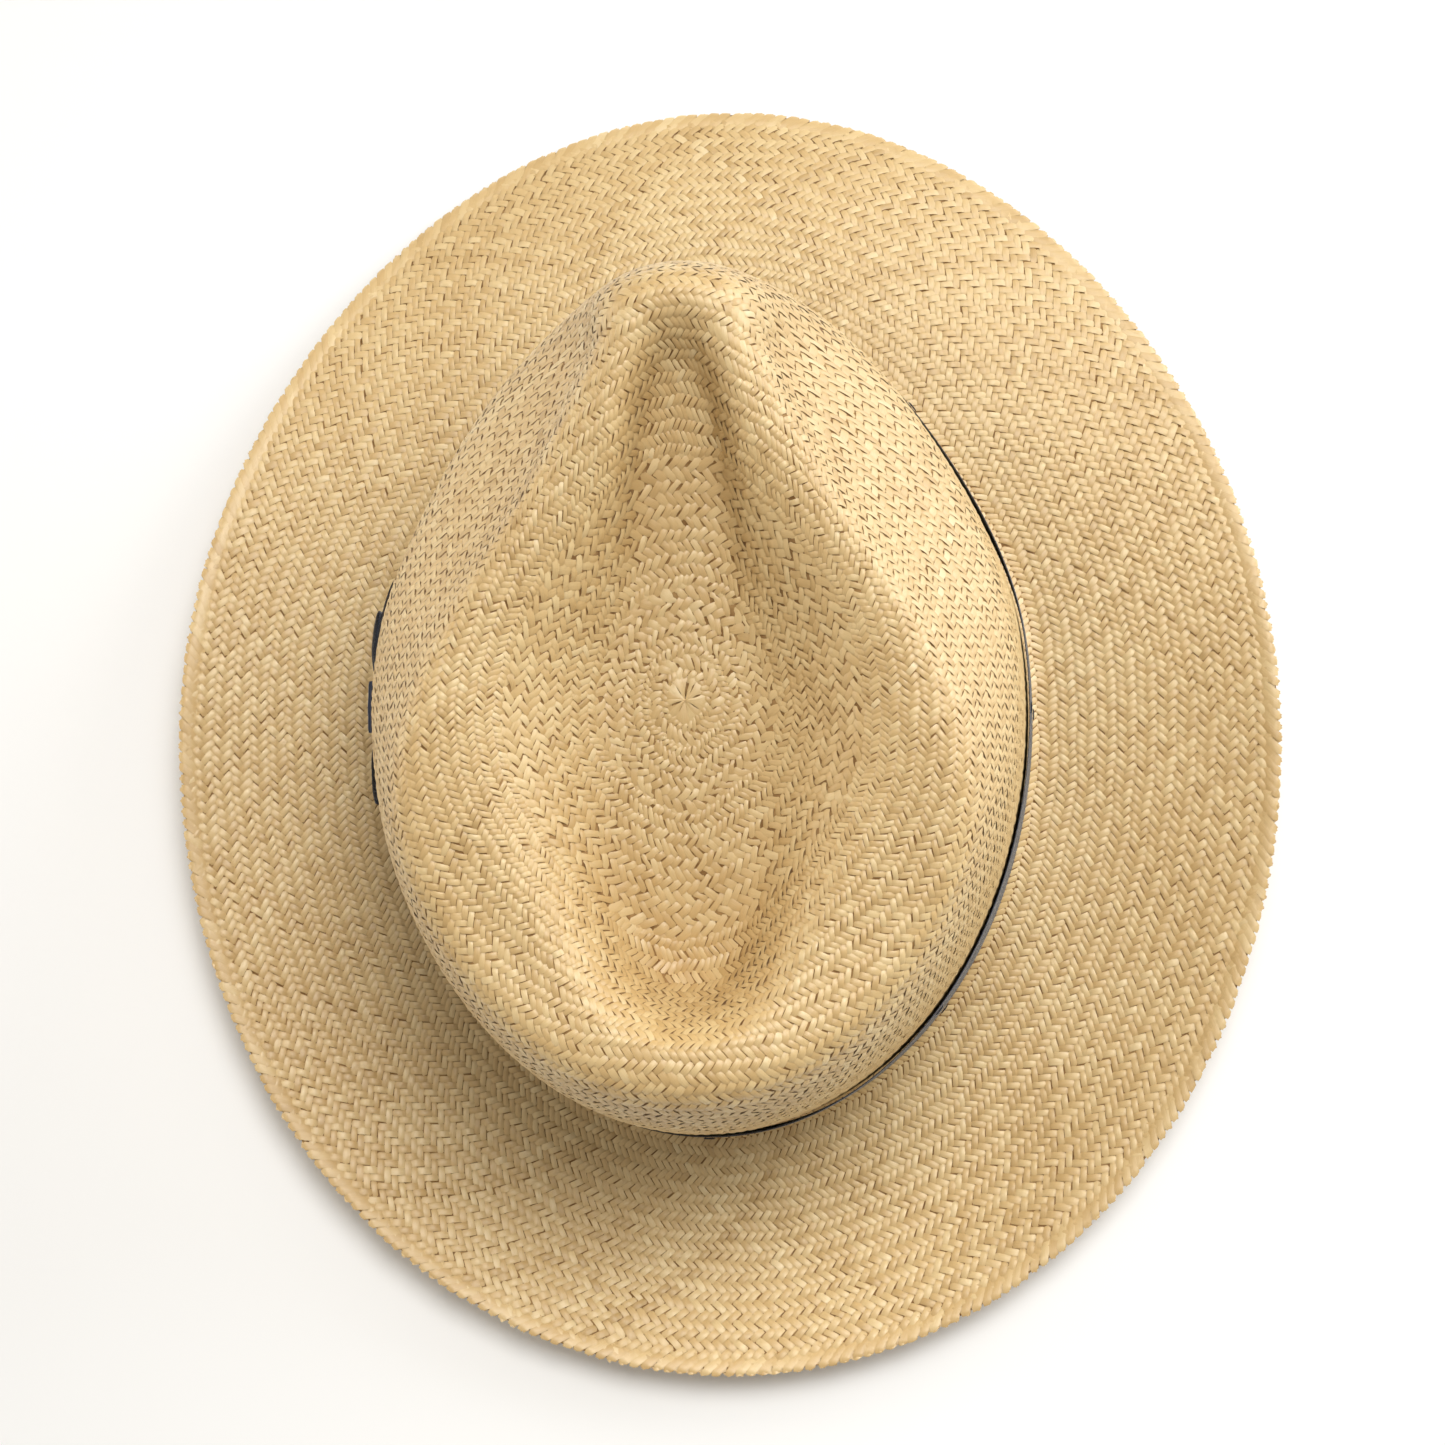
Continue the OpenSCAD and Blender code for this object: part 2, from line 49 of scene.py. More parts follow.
# Sizes of the hat's surface, in millimetres, as in the part's own source
BASE_X, BASE_Y, BASE_SHIFT = 80.5, 106.0, 2.0
FRONT_H, SIDE_H, BACK_H, QUARTER_FALL, CREST_RISE = 112.0, 101.0, 100.0, 5.0, 5.0
TOP_SHARE, SHOULDER_POWER, CROWN_TAPER = 0.8, 3.6, 0.03
FRONT_LEAN, SIDE_LEAN = 3.0, 3.8
FRONT_NARROW, NARROW_START, NARROW_LEN = 0.115, 0.17, 0.76
STRAW_T = 1.2
DENT_DEPTH, FLOOR_X, FLOOR_Y, FLOOR_POWER = 22.0, 0.36, 0.82, 2.4
FLOOR_FALL, FLOOR_BACK_FALL, FLOOR_FRONT_RISE = 0.06, 0.0012, 0.0028
NOSE_OPEN, NOSE_START = 0.1, 0.8
CREASE_SOFT, FLOOR_BUMP = 0.2, 2.0
SQUEEZE, PINCH_INSET, PINCH_LEN, NOSE_SHARE = 0.47, 18.0, 132.0, 0.7
PINCH_GAP, PINCH_CLIMB, PINCH_SPAN = 22.0, 8.0, 38.0
HOLLOW_DEPTH, HOLLOW_INSET, HOLLOW_DOWN = 3.0, 62.0, 30.0
HOLLOW_LEN, HOLLOW_HIGH, HOLLOW_SOFT, EDGE_GAIN = 26.0, 20.0, 12.0, 8.0
NOSE_Y, NOSE_LEN, CLIMB_Y = 28.0 - BASE_Y, 23.0, 16.0 - BASE_Y
BRIM_FRONT_W, BRIM_SIDE_W, BRIM_BACK_W = 59.5, 62.0, 62.0
FRONT_DROP, SIDE_RISE, BACK_RISE, BACK_DIP = 18.0, 9.0, 12.0, 2.5
FRONT_STRAIGHT, SIDE_POWER, BACK_POWER, DIP_GAIN = 0.35, 1.7, 2.2, 1.2
BREAK_R, FULLER_BACK = 4.0, 0.027
BAND_H, BAND_T, BOW_T, BOW_ANGLE = 33.0, 0.6, 0.4, -1.0
KNOT_W, LOOP_LEN, TAIL_OUT = 13.0, 33.0, 8.0
SWEAT_H, SWEAT_T, REED_D, TAPE_T = 36.0, 0.75, 1.6, 0.25
STITCH_COUNT, SEAM_W = 72, 11.0
GAP, PLY_GAP, TRIM_GAP = 0.15, 0.15, 0.2

BAND_Z = BREAK_R + 1
BAND_TOP = BAND_Z + BAND_H
PINCH_LOW = BAND_TOP + PINCH_GAP
BAND_OUT = GAP + BAND_T
LAP_IN = BAND_OUT + PLY_GAP
PLY_IN = LAP_IN + BOW_T + PLY_GAP
LOOP_IN = PLY_IN + BOW_T + PLY_GAP + BOW_T / 2
KNOT_OUT = LOOP_IN + 2.5
LAP_HALF, BACKING_HALF, BOW_EDGE = 16.0, 12.0, 1.0
REED_R = REED_D / 2
TAPE_R = REED_R + PLY_GAP + TAPE_T
REED_O = -(STRAW_T + GAP + TAPE_R)
REED_Z = BREAK_R - REED_R
SWEAT_FOOT_O = REED_O - TAPE_R - PLY_GAP
SWEAT_TOP_O = -(STRAW_T + GAP * 2.5)
SWEAT_TOP = REED_Z + SWEAT_H


# ---- The hat's surface

def smooth(t):
    u = np.clip(t, 0, 1)
    return u * u * (3 - 2 * u)


def unit(v):
    return v / (np.linalg.norm(v, axis=-1, keepdims=True) + 1e-12)


def back_quarter(a):
    return np.where(np.sin(a) > 0, np.sin(2 * a) ** 2, 0)


def ridge_h(a):
    end = np.where(np.sin(a) < 0, FRONT_H, BACK_H)
    return SIDE_H * np.cos(a) ** 2 + end * np.sin(a) ** 2 - QUARTER_FALL * back_quarter(a)


def wall_share(h):
    return TOP_SHARE + (1 - TOP_SHARE) * (1 - h ** SHOULDER_POWER) ** (1 / SHOULDER_POWER)


def shoulder(r):
    e = np.clip((r - TOP_SHARE) / (1 - TOP_SHARE), 0, 1)
    return (1 - e ** SHOULDER_POWER) ** (1 / SHOULDER_POWER)


def pinch(y, z):
    fade = 1 - smooth((y + BASE_Y - PINCH_INSET) / PINCH_LEN)
    nose = 1 - NOSE_SHARE * smooth((NOSE_Y - y) / NOSE_LEN)
    low = PINCH_LOW + PINCH_CLIMB * np.clip(1 - y / CLIMB_Y, 0, 1)
    return SQUEEZE * fade * nose * smooth((z - low) / PINCH_SPAN)


def hollow(y, z):
    down, along = (z - (FRONT_H - HOLLOW_DOWN)) / HOLLOW_HIGH, (y - (HOLLOW_INSET - BASE_Y)) / HOLLOW_LEN
    return HOLLOW_DEPTH * np.exp(-along ** 2 - down ** 2)


def dent(r, a, y):
    rho = r / (TOP_SHARE + NOSE_OPEN * smooth((-np.sin(a) - NOSE_START) / (1 - NOSE_START)))
    rim = ((np.abs(np.cos(a)) / FLOOR_X) ** FLOOR_POWER
           + (np.abs(np.sin(a)) / FLOOR_Y) ** FLOOR_POWER) ** (-1 / FLOOR_POWER)
    q0 = (rho - rim) / (1 - rim)
    q = np.clip((q0 + np.sqrt(q0 ** 2 + CREASE_SOFT ** 2)) / 2, 0, 1)
    bump = FLOOR_BUMP * np.maximum(0, 1 - (rho / rim) ** 2) ** 2
    floor = (SIDE_H - DENT_DEPTH - FLOOR_FALL * y - FLOOR_BACK_FALL * np.maximum(0, y) ** 2
             + FLOOR_FRONT_RISE * np.minimum(0, y) ** 2 + bump)
    crest = CREST_RISE * back_quarter(a) * np.sin(math.pi * q) ** 2
    return np.where(rho < 1, (ridge_h(a) - floor) * (1 - np.sin(math.pi / 2 * q)) - crest, 0)


def foot_half_x(a):
    return BASE_X * (1 - FRONT_NARROW * smooth((-np.sin(a) - NARROW_START) / NARROW_LEN))


def shaped(r, h, a):
    """Point of the crown's outer face from plan share r, height share h and angle a."""
    k = 1 - CROWN_TAPER * h
    x = foot_half_x(a) * r * np.cos(a) * k
    y = BASE_Y * r * np.sin(a) * k - FRONT_LEAN * h * r * smooth(-np.sin(a))
    z = BREAK_R + (ridge_h(a) - BREAK_R) * h
    edge = np.clip(EDGE_GAIN * (r - TOP_SHARE) / (1 - TOP_SHARE), 0, 1)
    flank = x / np.sqrt(x * x + HOLLOW_SOFT ** 2)
    pinched = x * (1 - pinch(y, z)) - edge * hollow(y, z) * flank
    return np.stack([pinched + SIDE_LEAN * h + BASE_SHIFT, y, z - dent(r, a, y)], -1)


def wall_point(z, a, out):
    """Point of the crown's wall at height z and angle a, out millimetres outward."""
    z, a, out = np.broadcast_arrays(np.asarray(z, float), np.asarray(a, float), np.asarray(out, float))
    h = np.maximum(0, (z - BREAK_R) / (ridge_h(a) - BREAK_R))
    p = shaped(wall_share(h), h, a)
    p[..., 2] = z
    return p + out[..., None] * unit(np.stack([np.cos(a) / BASE_X, np.sin(a) / BASE_Y, 0 * a], -1))


def brim_point(v, a):
    front, back = smooth(-np.sin(a)), smooth(np.sin(a))
    half_y = np.where(np.sin(a) < 0, BASE_Y + BRIM_FRONT_W, BASE_Y + BRIM_BACK_W)
    half_x = (BASE_X + BRIM_SIDE_W) * (1 + FULLER_BACK * np.sin(a))
    foot = np.stack([foot_half_x(a) * np.cos(a) + BASE_SHIFT, BASE_Y * np.sin(a)], -1)
    edge = np.stack([half_x * np.cos(a), half_y * np.sin(a)], -1)
    reach = np.linalg.norm(edge - foot, axis=-1)
    turn = np.maximum(0, 1 - reach * v / BREAK_R)
    fillet = BREAK_R * (1 - np.sqrt(1 - turn ** 2))
    rise = (-FRONT_DROP * (FRONT_STRAIGHT * v + (1 - FRONT_STRAIGHT) * v * v) * front
            + (BACK_RISE * v ** BACK_POWER - BACK_DIP * np.sin(math.pi * np.minimum(1, DIP_GAIN * v))) * back
            + SIDE_RISE * v ** SIDE_POWER * (1 - front - back))
    flat = foot + (edge - foot) * v[..., None]
    return np.concatenate([flat, (rise + fillet)[..., None]], -1)


def resting():
    """Pitch, lift and shift that set the level hat down on its front edge and back brim."""
    low_v = 0.25
    back = BACK_RISE * low_v ** BACK_POWER - BACK_DIP * math.sin(math.pi * DIP_GAIN * low_v)
    run = BASE_Y + BRIM_FRONT_W + BASE_Y + low_v * BRIM_BACK_W
    pitch = math.atan((FRONT_DROP + back) / run)
    turned = Matrix.Rotation(-pitch, 4, "X")
    lowest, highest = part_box("straw_body")
    a = np.linspace(0, TAU, 1440, endpoint=False)
    rim = brim_point(np.ones_like(a), a) @ np.array(turned.to_3x3()).T
    shift = (lowest.y + highest.y) / 2 / MM - (rim[:, 1].min() + rim[:, 1].max()) / 2
    front = brim_point(np.ones(1), np.array([-math.pi / 2]))[0]
    band_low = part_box("hat_band")[1].z / MM
    top = wall_point(np.full(1440, BAND_TOP), a, np.full(1440, BAND_OUT)) @ np.array(turned.to_3x3()).T
    return Matrix.Translation((0, shift, band_low - top[:, 2].max())) @ turned


SEATED = resting()
TURN = np.array(SEATED.to_3x3())
SHIFT = np.array(SEATED.to_translation())


def placed(points):
    """Points of the level hat in millimetres, set down in the row frame in metres."""
    return (np.asarray(points, float) @ TURN.T + SHIFT) * MM


class Surface:
    """The straw's outer face by arc length g from the crown's middle, in millimetres, and angle a."""
    CROWN_RING, BRIM_RING = 0.88, 0.6
    BLEND_UNDER = 0.34
    WALL_CROWDING, BRIM_CROWDING = 0.77, 1.7

    def __init__(self, angles=720, steps=1400):
        """Lines run from the middle to the edge, evenly spaced on one ring of the crown and of the brim."""
        fine = np.linspace(0, TAU, 2881)
        ring = np.full_like(fine, self.CROWN_RING)
        upper = self.even_turn(shaped(ring, shoulder(ring), fine), angles)
        outer = self.even_turn(brim_point(np.full_like(fine, self.BRIM_RING), fine), angles)
        top = np.linspace(0, 1, 240)[None, :]
        turn = np.linspace(0, math.pi / 2, 260)[None, 1:]
        h = np.maximum(0, np.cos(turn)) ** self.WALL_CROWDING
        tip = shaped(TOP_SHARE * top + 0 * upper, shoulder(TOP_SHARE * top + 0 * upper), upper + 0 * top)
        # Behind the band the strands' spacing passes from the crown's to the brim's
        a = upper + (outer - upper) * smooth((self.BLEND_UNDER - h) / self.BLEND_UNDER)
        wall = shaped(wall_share(h) + 0 * a, h + 0 * a, a)
        v = np.linspace(0, 1, 400)[None, 1:] ** self.BRIM_CROWDING
        brim = brim_point(v + 0 * outer, outer + 0 * v)
        crown = np.concatenate([tip, wall], 1)
        brim = np.concatenate([crown[:, -1:], brim], 1)
        self.crown_len, crown = self.even(crown, steps)
        self.brim_len, brim = self.even(brim, steps // 2)
        self.points = np.concatenate([crown, brim[:, 1:]], 1)
        self.length = self.crown_len + self.brim_len
        self.g = np.concatenate([np.linspace(0, self.crown_len, steps),
                                 self.crown_len + np.linspace(0, self.brim_len, steps // 2)[1:]])
        around = np.roll(self.points, -1, 0) - np.roll(self.points, 1, 0)
        down = np.gradient(self.points, axis=1)
        n = np.cross(down, around)
        n[:, 0] = (0, 0, 1)
        n = unit(n)
        n[:, :6] = n[:, 6:7] * 0.5 + np.array([0, 0, 0.5])
        self.normals = unit(n)
        self.angles = angles

    @staticmethod
    def even_turn(ring, count):
        """Angles that divide a ring into equal lengths, as a column."""
        s = np.concatenate([[0], np.cumsum(np.linalg.norm(np.diff(ring, axis=0), axis=-1))])
        return np.interp(np.arange(count) / count * s[-1], s, np.linspace(0, TAU, len(ring)))[:, None]

    @staticmethod
    def even(points, steps):
        """Mean length of the lines from first to last point, and the lines resampled evenly."""
        d = np.linalg.norm(np.diff(points, axis=1), axis=-1)
        s = np.concatenate([np.zeros((len(points), 1)), np.cumsum(d, 1)], 1)
        share = np.linspace(0, 1, steps)
        lines = [np.stack([np.interp(share * s[i, -1], s[i], points[i, :, c]) for c in range(3)], -1)
                 for i in range(len(points))]
        return s[:, -1].mean(), np.array(lines)

    def at(self, g, a):
        """Points and normals at lengths g and angles a."""
        i = np.interp(g, self.g, np.arange(len(self.g)))
        j = np.mod(a / TAU, 1) * self.angles
        i0 = np.minimum(i.astype(int), len(self.g) - 2)
        j0 = j.astype(int) % self.angles
        fi, fj = (i - i0)[..., None], (j - np.floor(j))[..., None]
        j1 = (j0 + 1) % self.angles
        found = []
        for grid in (self.points, self.normals):
            found.append((grid[j0, i0] * (1 - fi) + grid[j0, i0 + 1] * fi) * (1 - fj)
                         + (grid[j1, i0] * (1 - fi) + grid[j1, i0 + 1] * fi) * fj)
        return found[0], unit(found[1])


SURFACE = Surface()


# ---- Meshes

def list_mesh(name, points, faces, smooth_angle):
    """Smooth mesh from points in metres and faces of any size, sharp beyond an angle."""
    mesh = bpy.data.meshes.new(name)
    mesh.from_pydata(points.tolist(), [], faces)
    mesh.polygons.foreach_set("use_smooth", [True] * len(mesh.polygons))
    mesh.update()
    mesh.set_sharp_from_angle(angle=math.radians(smooth_angle))
    return mesh


def fast_mesh(name, points, quads):
    """Mesh from big arrays of points and quads, without Python lists."""
    mesh = bpy.data.meshes.new(name)
    mesh.vertices.add(len(points))
    mesh.vertices.foreach_set("co", points.astype(np.float32).ravel())
    mesh.loops.add(quads.size)
    mesh.loops.foreach_set("vertex_index", quads.astype(np.int32).ravel())
    mesh.polygons.add(len(quads))
    mesh.polygons.foreach_set("loop_start", np.arange(len(quads), dtype=np.int32) * 4)
    mesh.polygons.foreach_set("use_smooth", np.ones(len(quads), bool))
    mesh.update(calc_edges=True)
    return mesh


def ring_quads(before, after, flip=False):
    """Quads between closed rings of point numbers and the rings after them."""
    quads = np.stack([before, np.roll(before, -1, 1), np.roll(after, -1, 1), after], -1)
    return (quads[..., [0, 3, 2, 1]] if flip else quads).reshape(-1, 4)


def corners(*pairs):
    """Map coordinates of many quads from the two coordinates of each corner."""
    return np.stack([np.stack(pair, -1) for pair in pairs], -2).reshape(-1, 2)


def add_uv(mesh, name, values):
    uv = mesh.uv_layers.new(name=name)
    uv.uv.foreach_set("vector", values.astype(np.float32).ravel())


def add_piece(name, mesh, look, replaces):
    """Piece on its body from a mesh in the row frame, with its material, and the nodes it replaces hidden."""
    mesh.materials.append(look)
    piece = bpy.data.objects.new(name, mesh)
    bpy.context.scene.collection.objects.link(piece)
    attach(piece, "root")
    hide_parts(*replaces)


class Weave:
    """Strands of one woven piece: each is a lens-shaped tube of four edges along its length."""

    def __init__(self):
        self.points, self.tone, self.size = [], [], []

    def add(self, centre, normal, half_w, half_t, tone, thinned):
        """Strands with rows of centre points and normals: arrays [strand, station, 3].
        thinned is the share that each strand's thickness loses."""
        d = unit(np.gradient(centre, axis=1))
        side = unit(np.cross(normal, d))
        up = np.cross(d, side)
        half_w, half_t = half_w[..., None], half_t[..., None]
        crown = half_t * (1 - thinned[:, None, None])
        rows = np.stack([centre + side * half_w, centre + up * crown,
                         centre - side * half_w, centre - up * crown], 2)
        self.points.append(rows)
        self.tone.append(tone)
        self.size.append(rows.shape[:2])

    def build(self, name):
        """One piece of all strands, with a map along the fibres and one that never overlaps."""
        quads, strand_uv, bake_uv, tones = [], [], [], []
        corner = np.array([[0, 0], [1, 0], [1, 1], [0, 1]], float)
        strips = sum(k for k, _ in self.size)
        start, strip = 0, 0
        for rows, tone, (k, n) in zip(self.points, self.tone, self.size):
            step = np.linalg.norm(np.diff(rows.mean(2), axis=1), axis=-1)
            run = np.concatenate([np.zeros((k, 1)), np.cumsum(step, 1)], 1)
            width = np.linalg.norm(rows[:, :, 0] - rows[:, :, 2], axis=-1)
            index = start + np.arange(k * n * 4).reshape(k, n, 4)
            offset = RANDOM.uniform(0, 400, (k, 1))
            share = 0.004 + 0.992 * run / run[:, -1:]
            for side in range(4):
                after = (side + 1) % 4
                quads.append(np.stack([index[:, :-1, side], index[:, :-1, after],
                                       index[:, 1:, after], index[:, 1:, side]], -1).reshape(-1, 4))
                near, far = ((-0.5, 0), (0, 0.5), (0.5, 0), (0, -0.5))[side]
                u0, u1 = (run + offset)[:, :-1], (run + offset)[:, 1:]
                v0, v1 = width[:, :-1], width[:, 1:]
                strand_uv.append(corners((u0, v0 * near + offset), (u0, v0 * far + offset),
                                         (u1, v1 * far + offset), (u1, v1 * near + offset)))
                row = (strip + np.arange(k))[:, None] * 4 + side + 0 * u0
                s0, s1 = share[:, :-1], share[:, 1:]
                low, high = row / (4 * strips), (row + 1) / (4 * strips)
                bake_uv.append(corners((s0, low), (s0, high), (s1, high), (s1, low)))
            ends = np.stack([index[:, 0, [3, 2, 1, 0]], index[:, -1]], 1).reshape(-1, 4)
            quads.append(ends)
            strand_uv.append(np.full((len(ends) * 4, 2), offset.mean()))
            place = np.tile([0.0005, 0.9975], k)
            row = np.repeat(strip + np.arange(k), 2)
            bake_uv.append((np.stack([place, row / strips], -1)[:, None]
                            + corner * [0.002, 0.6 / strips]).reshape(-1, 2))
            tones.append(np.broadcast_to(tone[..., None], (k, n, 4)).ravel())
            start += k * n * 4
            strip += k
        points = np.concatenate([rows.reshape(-1, 3) for rows in self.points])
        mesh = fast_mesh(name, placed(points), np.concatenate(quads))
        add_uv(mesh, "Strand", np.concatenate(strand_uv))
        add_uv(mesh, "OFBake", np.concatenate(bake_uv))
        tone = mesh.attributes.new("tone", "FLOAT", "POINT")
        tone.data.foreach_set("value", np.concatenate(tones).astype(np.float32))
        mesh.set_sharp_from_angle(angle=math.radians(60))
        add_piece(name, mesh, STRAW, ["straw_body"])


# ---- Materials

def material(name, roughness=0.6, specular=0.4, **sockets):
    m = bpy.data.materials.new(name)
    m.use_nodes = True
    shader = m.node_tree.nodes["Principled BSDF"]
    shader.inputs["Roughness"].default_value = roughness
    shader.inputs["Specular IOR Level"].default_value = specular
    for socket, value in sockets.items():
        shader.inputs[socket.replace("_", " ")].default_value = value
    return m, shader


def node(m, kind, inputs=(), **settings):
    """New node with its settings, and inputs as {socket: value or output}."""
    n = m.node_tree.nodes.new(kind)
    for key, value in settings.items():
        setattr(n, key, value)
    for socket, value in dict(inputs).items():
        if isinstance(value, bpy.types.NodeSocket):
            m.node_tree.links.new(value, n.inputs[socket])
        else:
            n.inputs[socket].default_value = value
    return n


def ramp(m, fac, stops):
    n = node(m, "ShaderNodeValToRGB", {"Fac": fac})
    while len(n.color_ramp.elements) < len(stops):
        n.color_ramp.elements.new(0.5)
    for element, (place, colour) in zip(n.color_ramp.elements, stops):
        element.position = place
        element.color = (*colour, 1)
    return n.outputs["Color"]


def math_node(m, operation, a, b):
    return node(m, "ShaderNodeMath", {0: a, 1: b}, operation=operation).outputs[0]


def scaled_sum(m, a, share_a, b, share_b):
    return math_node(m, "ADD", math_node(m, "MULTIPLY", a, share_a), math_node(m, "MULTIPLY", b, share_b))


def noise(m, vector, scale, detail=2.0, **inputs):
    inputs.update(Vector=vector, Scale=scale, Detail=detail)
    return node(m, "ShaderNodeTexNoise", inputs).outputs["Fac"]


def object_place(m):
    return node(m, "ShaderNodeTexCoord").outputs["Object"]


def wire(m, shader, socket, output):
    m.node_tree.links.new(output, shader.inputs[socket])


def linear(r, g, b):
    """Linear colour from a display colour."""
    return tuple(((c + 0.055) / 1.055) ** 2.4 if c > 0.04 else c / 12.92 for c in (r, g, b))


def bump(m, shader, height, strength, distance):
    n = node(m, "ShaderNodeBump", {"Height": height, "Strength": strength, "Distance": distance})
    wire(m, shader, "Normal", n.outputs["Normal"])


def straw_material():
    """Palm straw: fibres along each strand, each strand's own tone, and slow patches over the hat."""
    m, shader = material("woven_straw", specular=0.65, Coat_Weight=0.1, Coat_Roughness=0.3)
    strand = node(m, "ShaderNodeUVMap", uv_map="Strand").outputs["UV"]
    streaks = node(m, "ShaderNodeMapping", {"Vector": strand, "Scale": (0.22, 5.5, 1)}).outputs["Vector"]
    fibre = noise(m, streaks, 1.0, 3.0, Roughness=0.65)
    patch = noise(m, object_place(m), 26.0)
    tone = node(m, "ShaderNodeAttribute", attribute_name="tone").outputs["Fac"]
    level = math_node(m, "ADD", tone, math_node(m, "MULTIPLY", fibre, 0.5))
    level = math_node(m, "ADD", level, math_node(m, "MULTIPLY", patch, 0.35))
    colour = ramp(m, math_node(m, "MULTIPLY", level, 0.55),
                  [(0.0, linear(0.66, 0.52, 0.30)), (0.42, linear(0.81, 0.68, 0.465)),
                   (0.62, linear(0.86, 0.75, 0.545)), (1.0, linear(0.92, 0.84, 0.68))])
    wire(m, shader, "Base Color", colour)
    wire(m, shader, "Roughness", math_node(m, "ADD", math_node(m, "MULTIPLY", fibre, 0.22), 0.27))
    bump(m, shader, fibre, 0.5, 0.00012)
    return m


def ribbon_material(name, dark, light):
    """Grosgrain: fine threads along the ribs, and weft across them."""
    m, shader = material(name, roughness=0.55, specular=0.35, Sheen_Weight=0.35, Sheen_Roughness=0.35)
    uv = node(m, "ShaderNodeUVMap", uv_map="Ribbon").outputs["UV"]
    across = node(m, "ShaderNodeMapping", {"Vector": uv, "Scale": (0.6, 7.0, 1)}).outputs["Vector"]
    weft = node(m, "ShaderNodeTexWave", {"Vector": uv, "Scale": 2.2, "Distortion": 0.6, "Detail": 1.0},
                wave_type="BANDS", bands_direction="Y").outputs["Fac"]
    cover = scaled_sum(m, noise(m, across, 1.0), 0.6, weft, 0.4)
    wire(m, shader, "Base Color", ramp(m, cover, [(0.25, dark), (0.8, light)]))
    bump(m, shader, cover, 0.6, 0.00008)
    return m


def leather_material():
    """Smooth sweatband leather: grain cells, pores and clouded dye."""
    m, shader = material("sweatband_leather", roughness=0.5, specular=0.4)
    place = object_place(m)
    grain = node(m, "ShaderNodeTexVoronoi", {"Vector": place, "Scale": 900.0}, feature="DISTANCE_TO_EDGE")
    pores = noise(m, place, 1600.0, 3.0)
    colour = ramp(m, noise(m, place, 40.0, 4.0),
                  [(0.3, linear(0.42, 0.27, 0.17)), (0.55, linear(0.52, 0.35, 0.22)),
                   (0.8, linear(0.60, 0.43, 0.28))])
    wire(m, shader, "Base Color", colour)
    wire(m, shader, "Roughness", math_node(m, "ADD", math_node(m, "MULTIPLY", pores, 0.3), 0.34))
    cells = math_node(m, "MINIMUM", grain.outputs["Distance"], 0.25)
    bump(m, shader, math_node(m, "ADD", cells, math_node(m, "MULTIPLY", pores, 0.12)), 0.45, 0.0002)
    return m


def cloth_material(name, dark, light, scale=2600.0, roughness=0.8):
    """Cotton, thread or satin: a diagonal weave with fuzz of the given scale."""
    m, shader = material(name, roughness=roughness, specular=0.25, Sheen_Weight=0.2)
    place = object_place(m)
    weave = node(m, "ShaderNodeTexWave", {"Vector": place, "Scale": scale / 8, "Distortion": 1.5,
                                          "Detail": 2.0}, bands_direction="DIAGONAL").outputs["Fac"]
    cover = scaled_sum(m, weave, 0.5, noise(m, place, scale), 0.5)
    wire(m, shader, "Base Color", ramp(m, cover, [(0.2, dark), (0.8, light)]))
    bump(m, shader, cover, 0.5, 0.0001)
    return m


def reed_material():
    m, shader = material("reed_plastic", roughness=0.45)
    colour = ramp(m, noise(m, object_place(m), 300.0),
                  [(0.3, linear(0.78, 0.73, 0.62)), (0.7, linear(0.86, 0.82, 0.72))])
    wire(m, shader, "Base Color", colour)
    return m


STRAW = straw_material()
BAND_RIBBON = ribbon_material("band_ribbon", linear(0.07, 0.10, 0.15), linear(0.14, 0.18, 0.25))
BOW_RIBBON = ribbon_material("bow_ribbon", linear(0.07, 0.10, 0.17), linear(0.14, 0.18, 0.28))
# Painted shade: this sheet's dark brown stands in for the shade in the gaps between the strands
GAP_SHADE = cloth_material("straw_gap_shade", linear(0.50, 0.36, 0.20), linear(0.66, 0.52, 0.33), 900.0)
LEATHER = leather_material()
TAPE = cloth_material("cotton_tape", linear(0.74, 0.68, 0.56), linear(0.88, 0.84, 0.74))
THREAD = cloth_material("pale_thread", linear(0.82, 0.76, 0.64), linear(0.95, 0.91, 0.82), 5200.0)
DARK_THREAD = cloth_material("dark_thread", linear(0.06, 0.08, 0.11), linear(0.16, 0.19, 0.24), 5200.0)
SATIN = cloth_material("tag_satin", linear(0.84, 0.80, 0.72), linear(0.95, 0.93, 0.88), 4200.0, 0.45)


# ---- The straw

HALF_STEP = 1.25
STRAND_HALF_T = 0.25
WAVE_HIGH = 0.36
EPS = 0.002
BRIM_START = SURFACE.crown_len - 9
BRIM_STRANDS = 330
# Rings of the weave: where each starts and ends along g, and its strands in each direction
TIP_ZONES = [(4.6, 10.0, 26), (10.0, 24.0, 50), (24.0, 51.0, 100)]
LARGE_ZONES = [("crown", 51.0, BRIM_START, 208), ("brim", BRIM_START, SURFACE.length - 0.9, BRIM_STRANDS)]
# The straws of the rosette: stations along g, and how high each arches there
ROSETTE_STRAWS = 17
ROSETTE_G = np.array([[0.05, 1.2, 2.4, 3.6, 4.8, 5.6]])
ROSETTE_ARCH = np.array([[0.3, 0.36, 0.38, 0.34, 0.2, -0.15]])
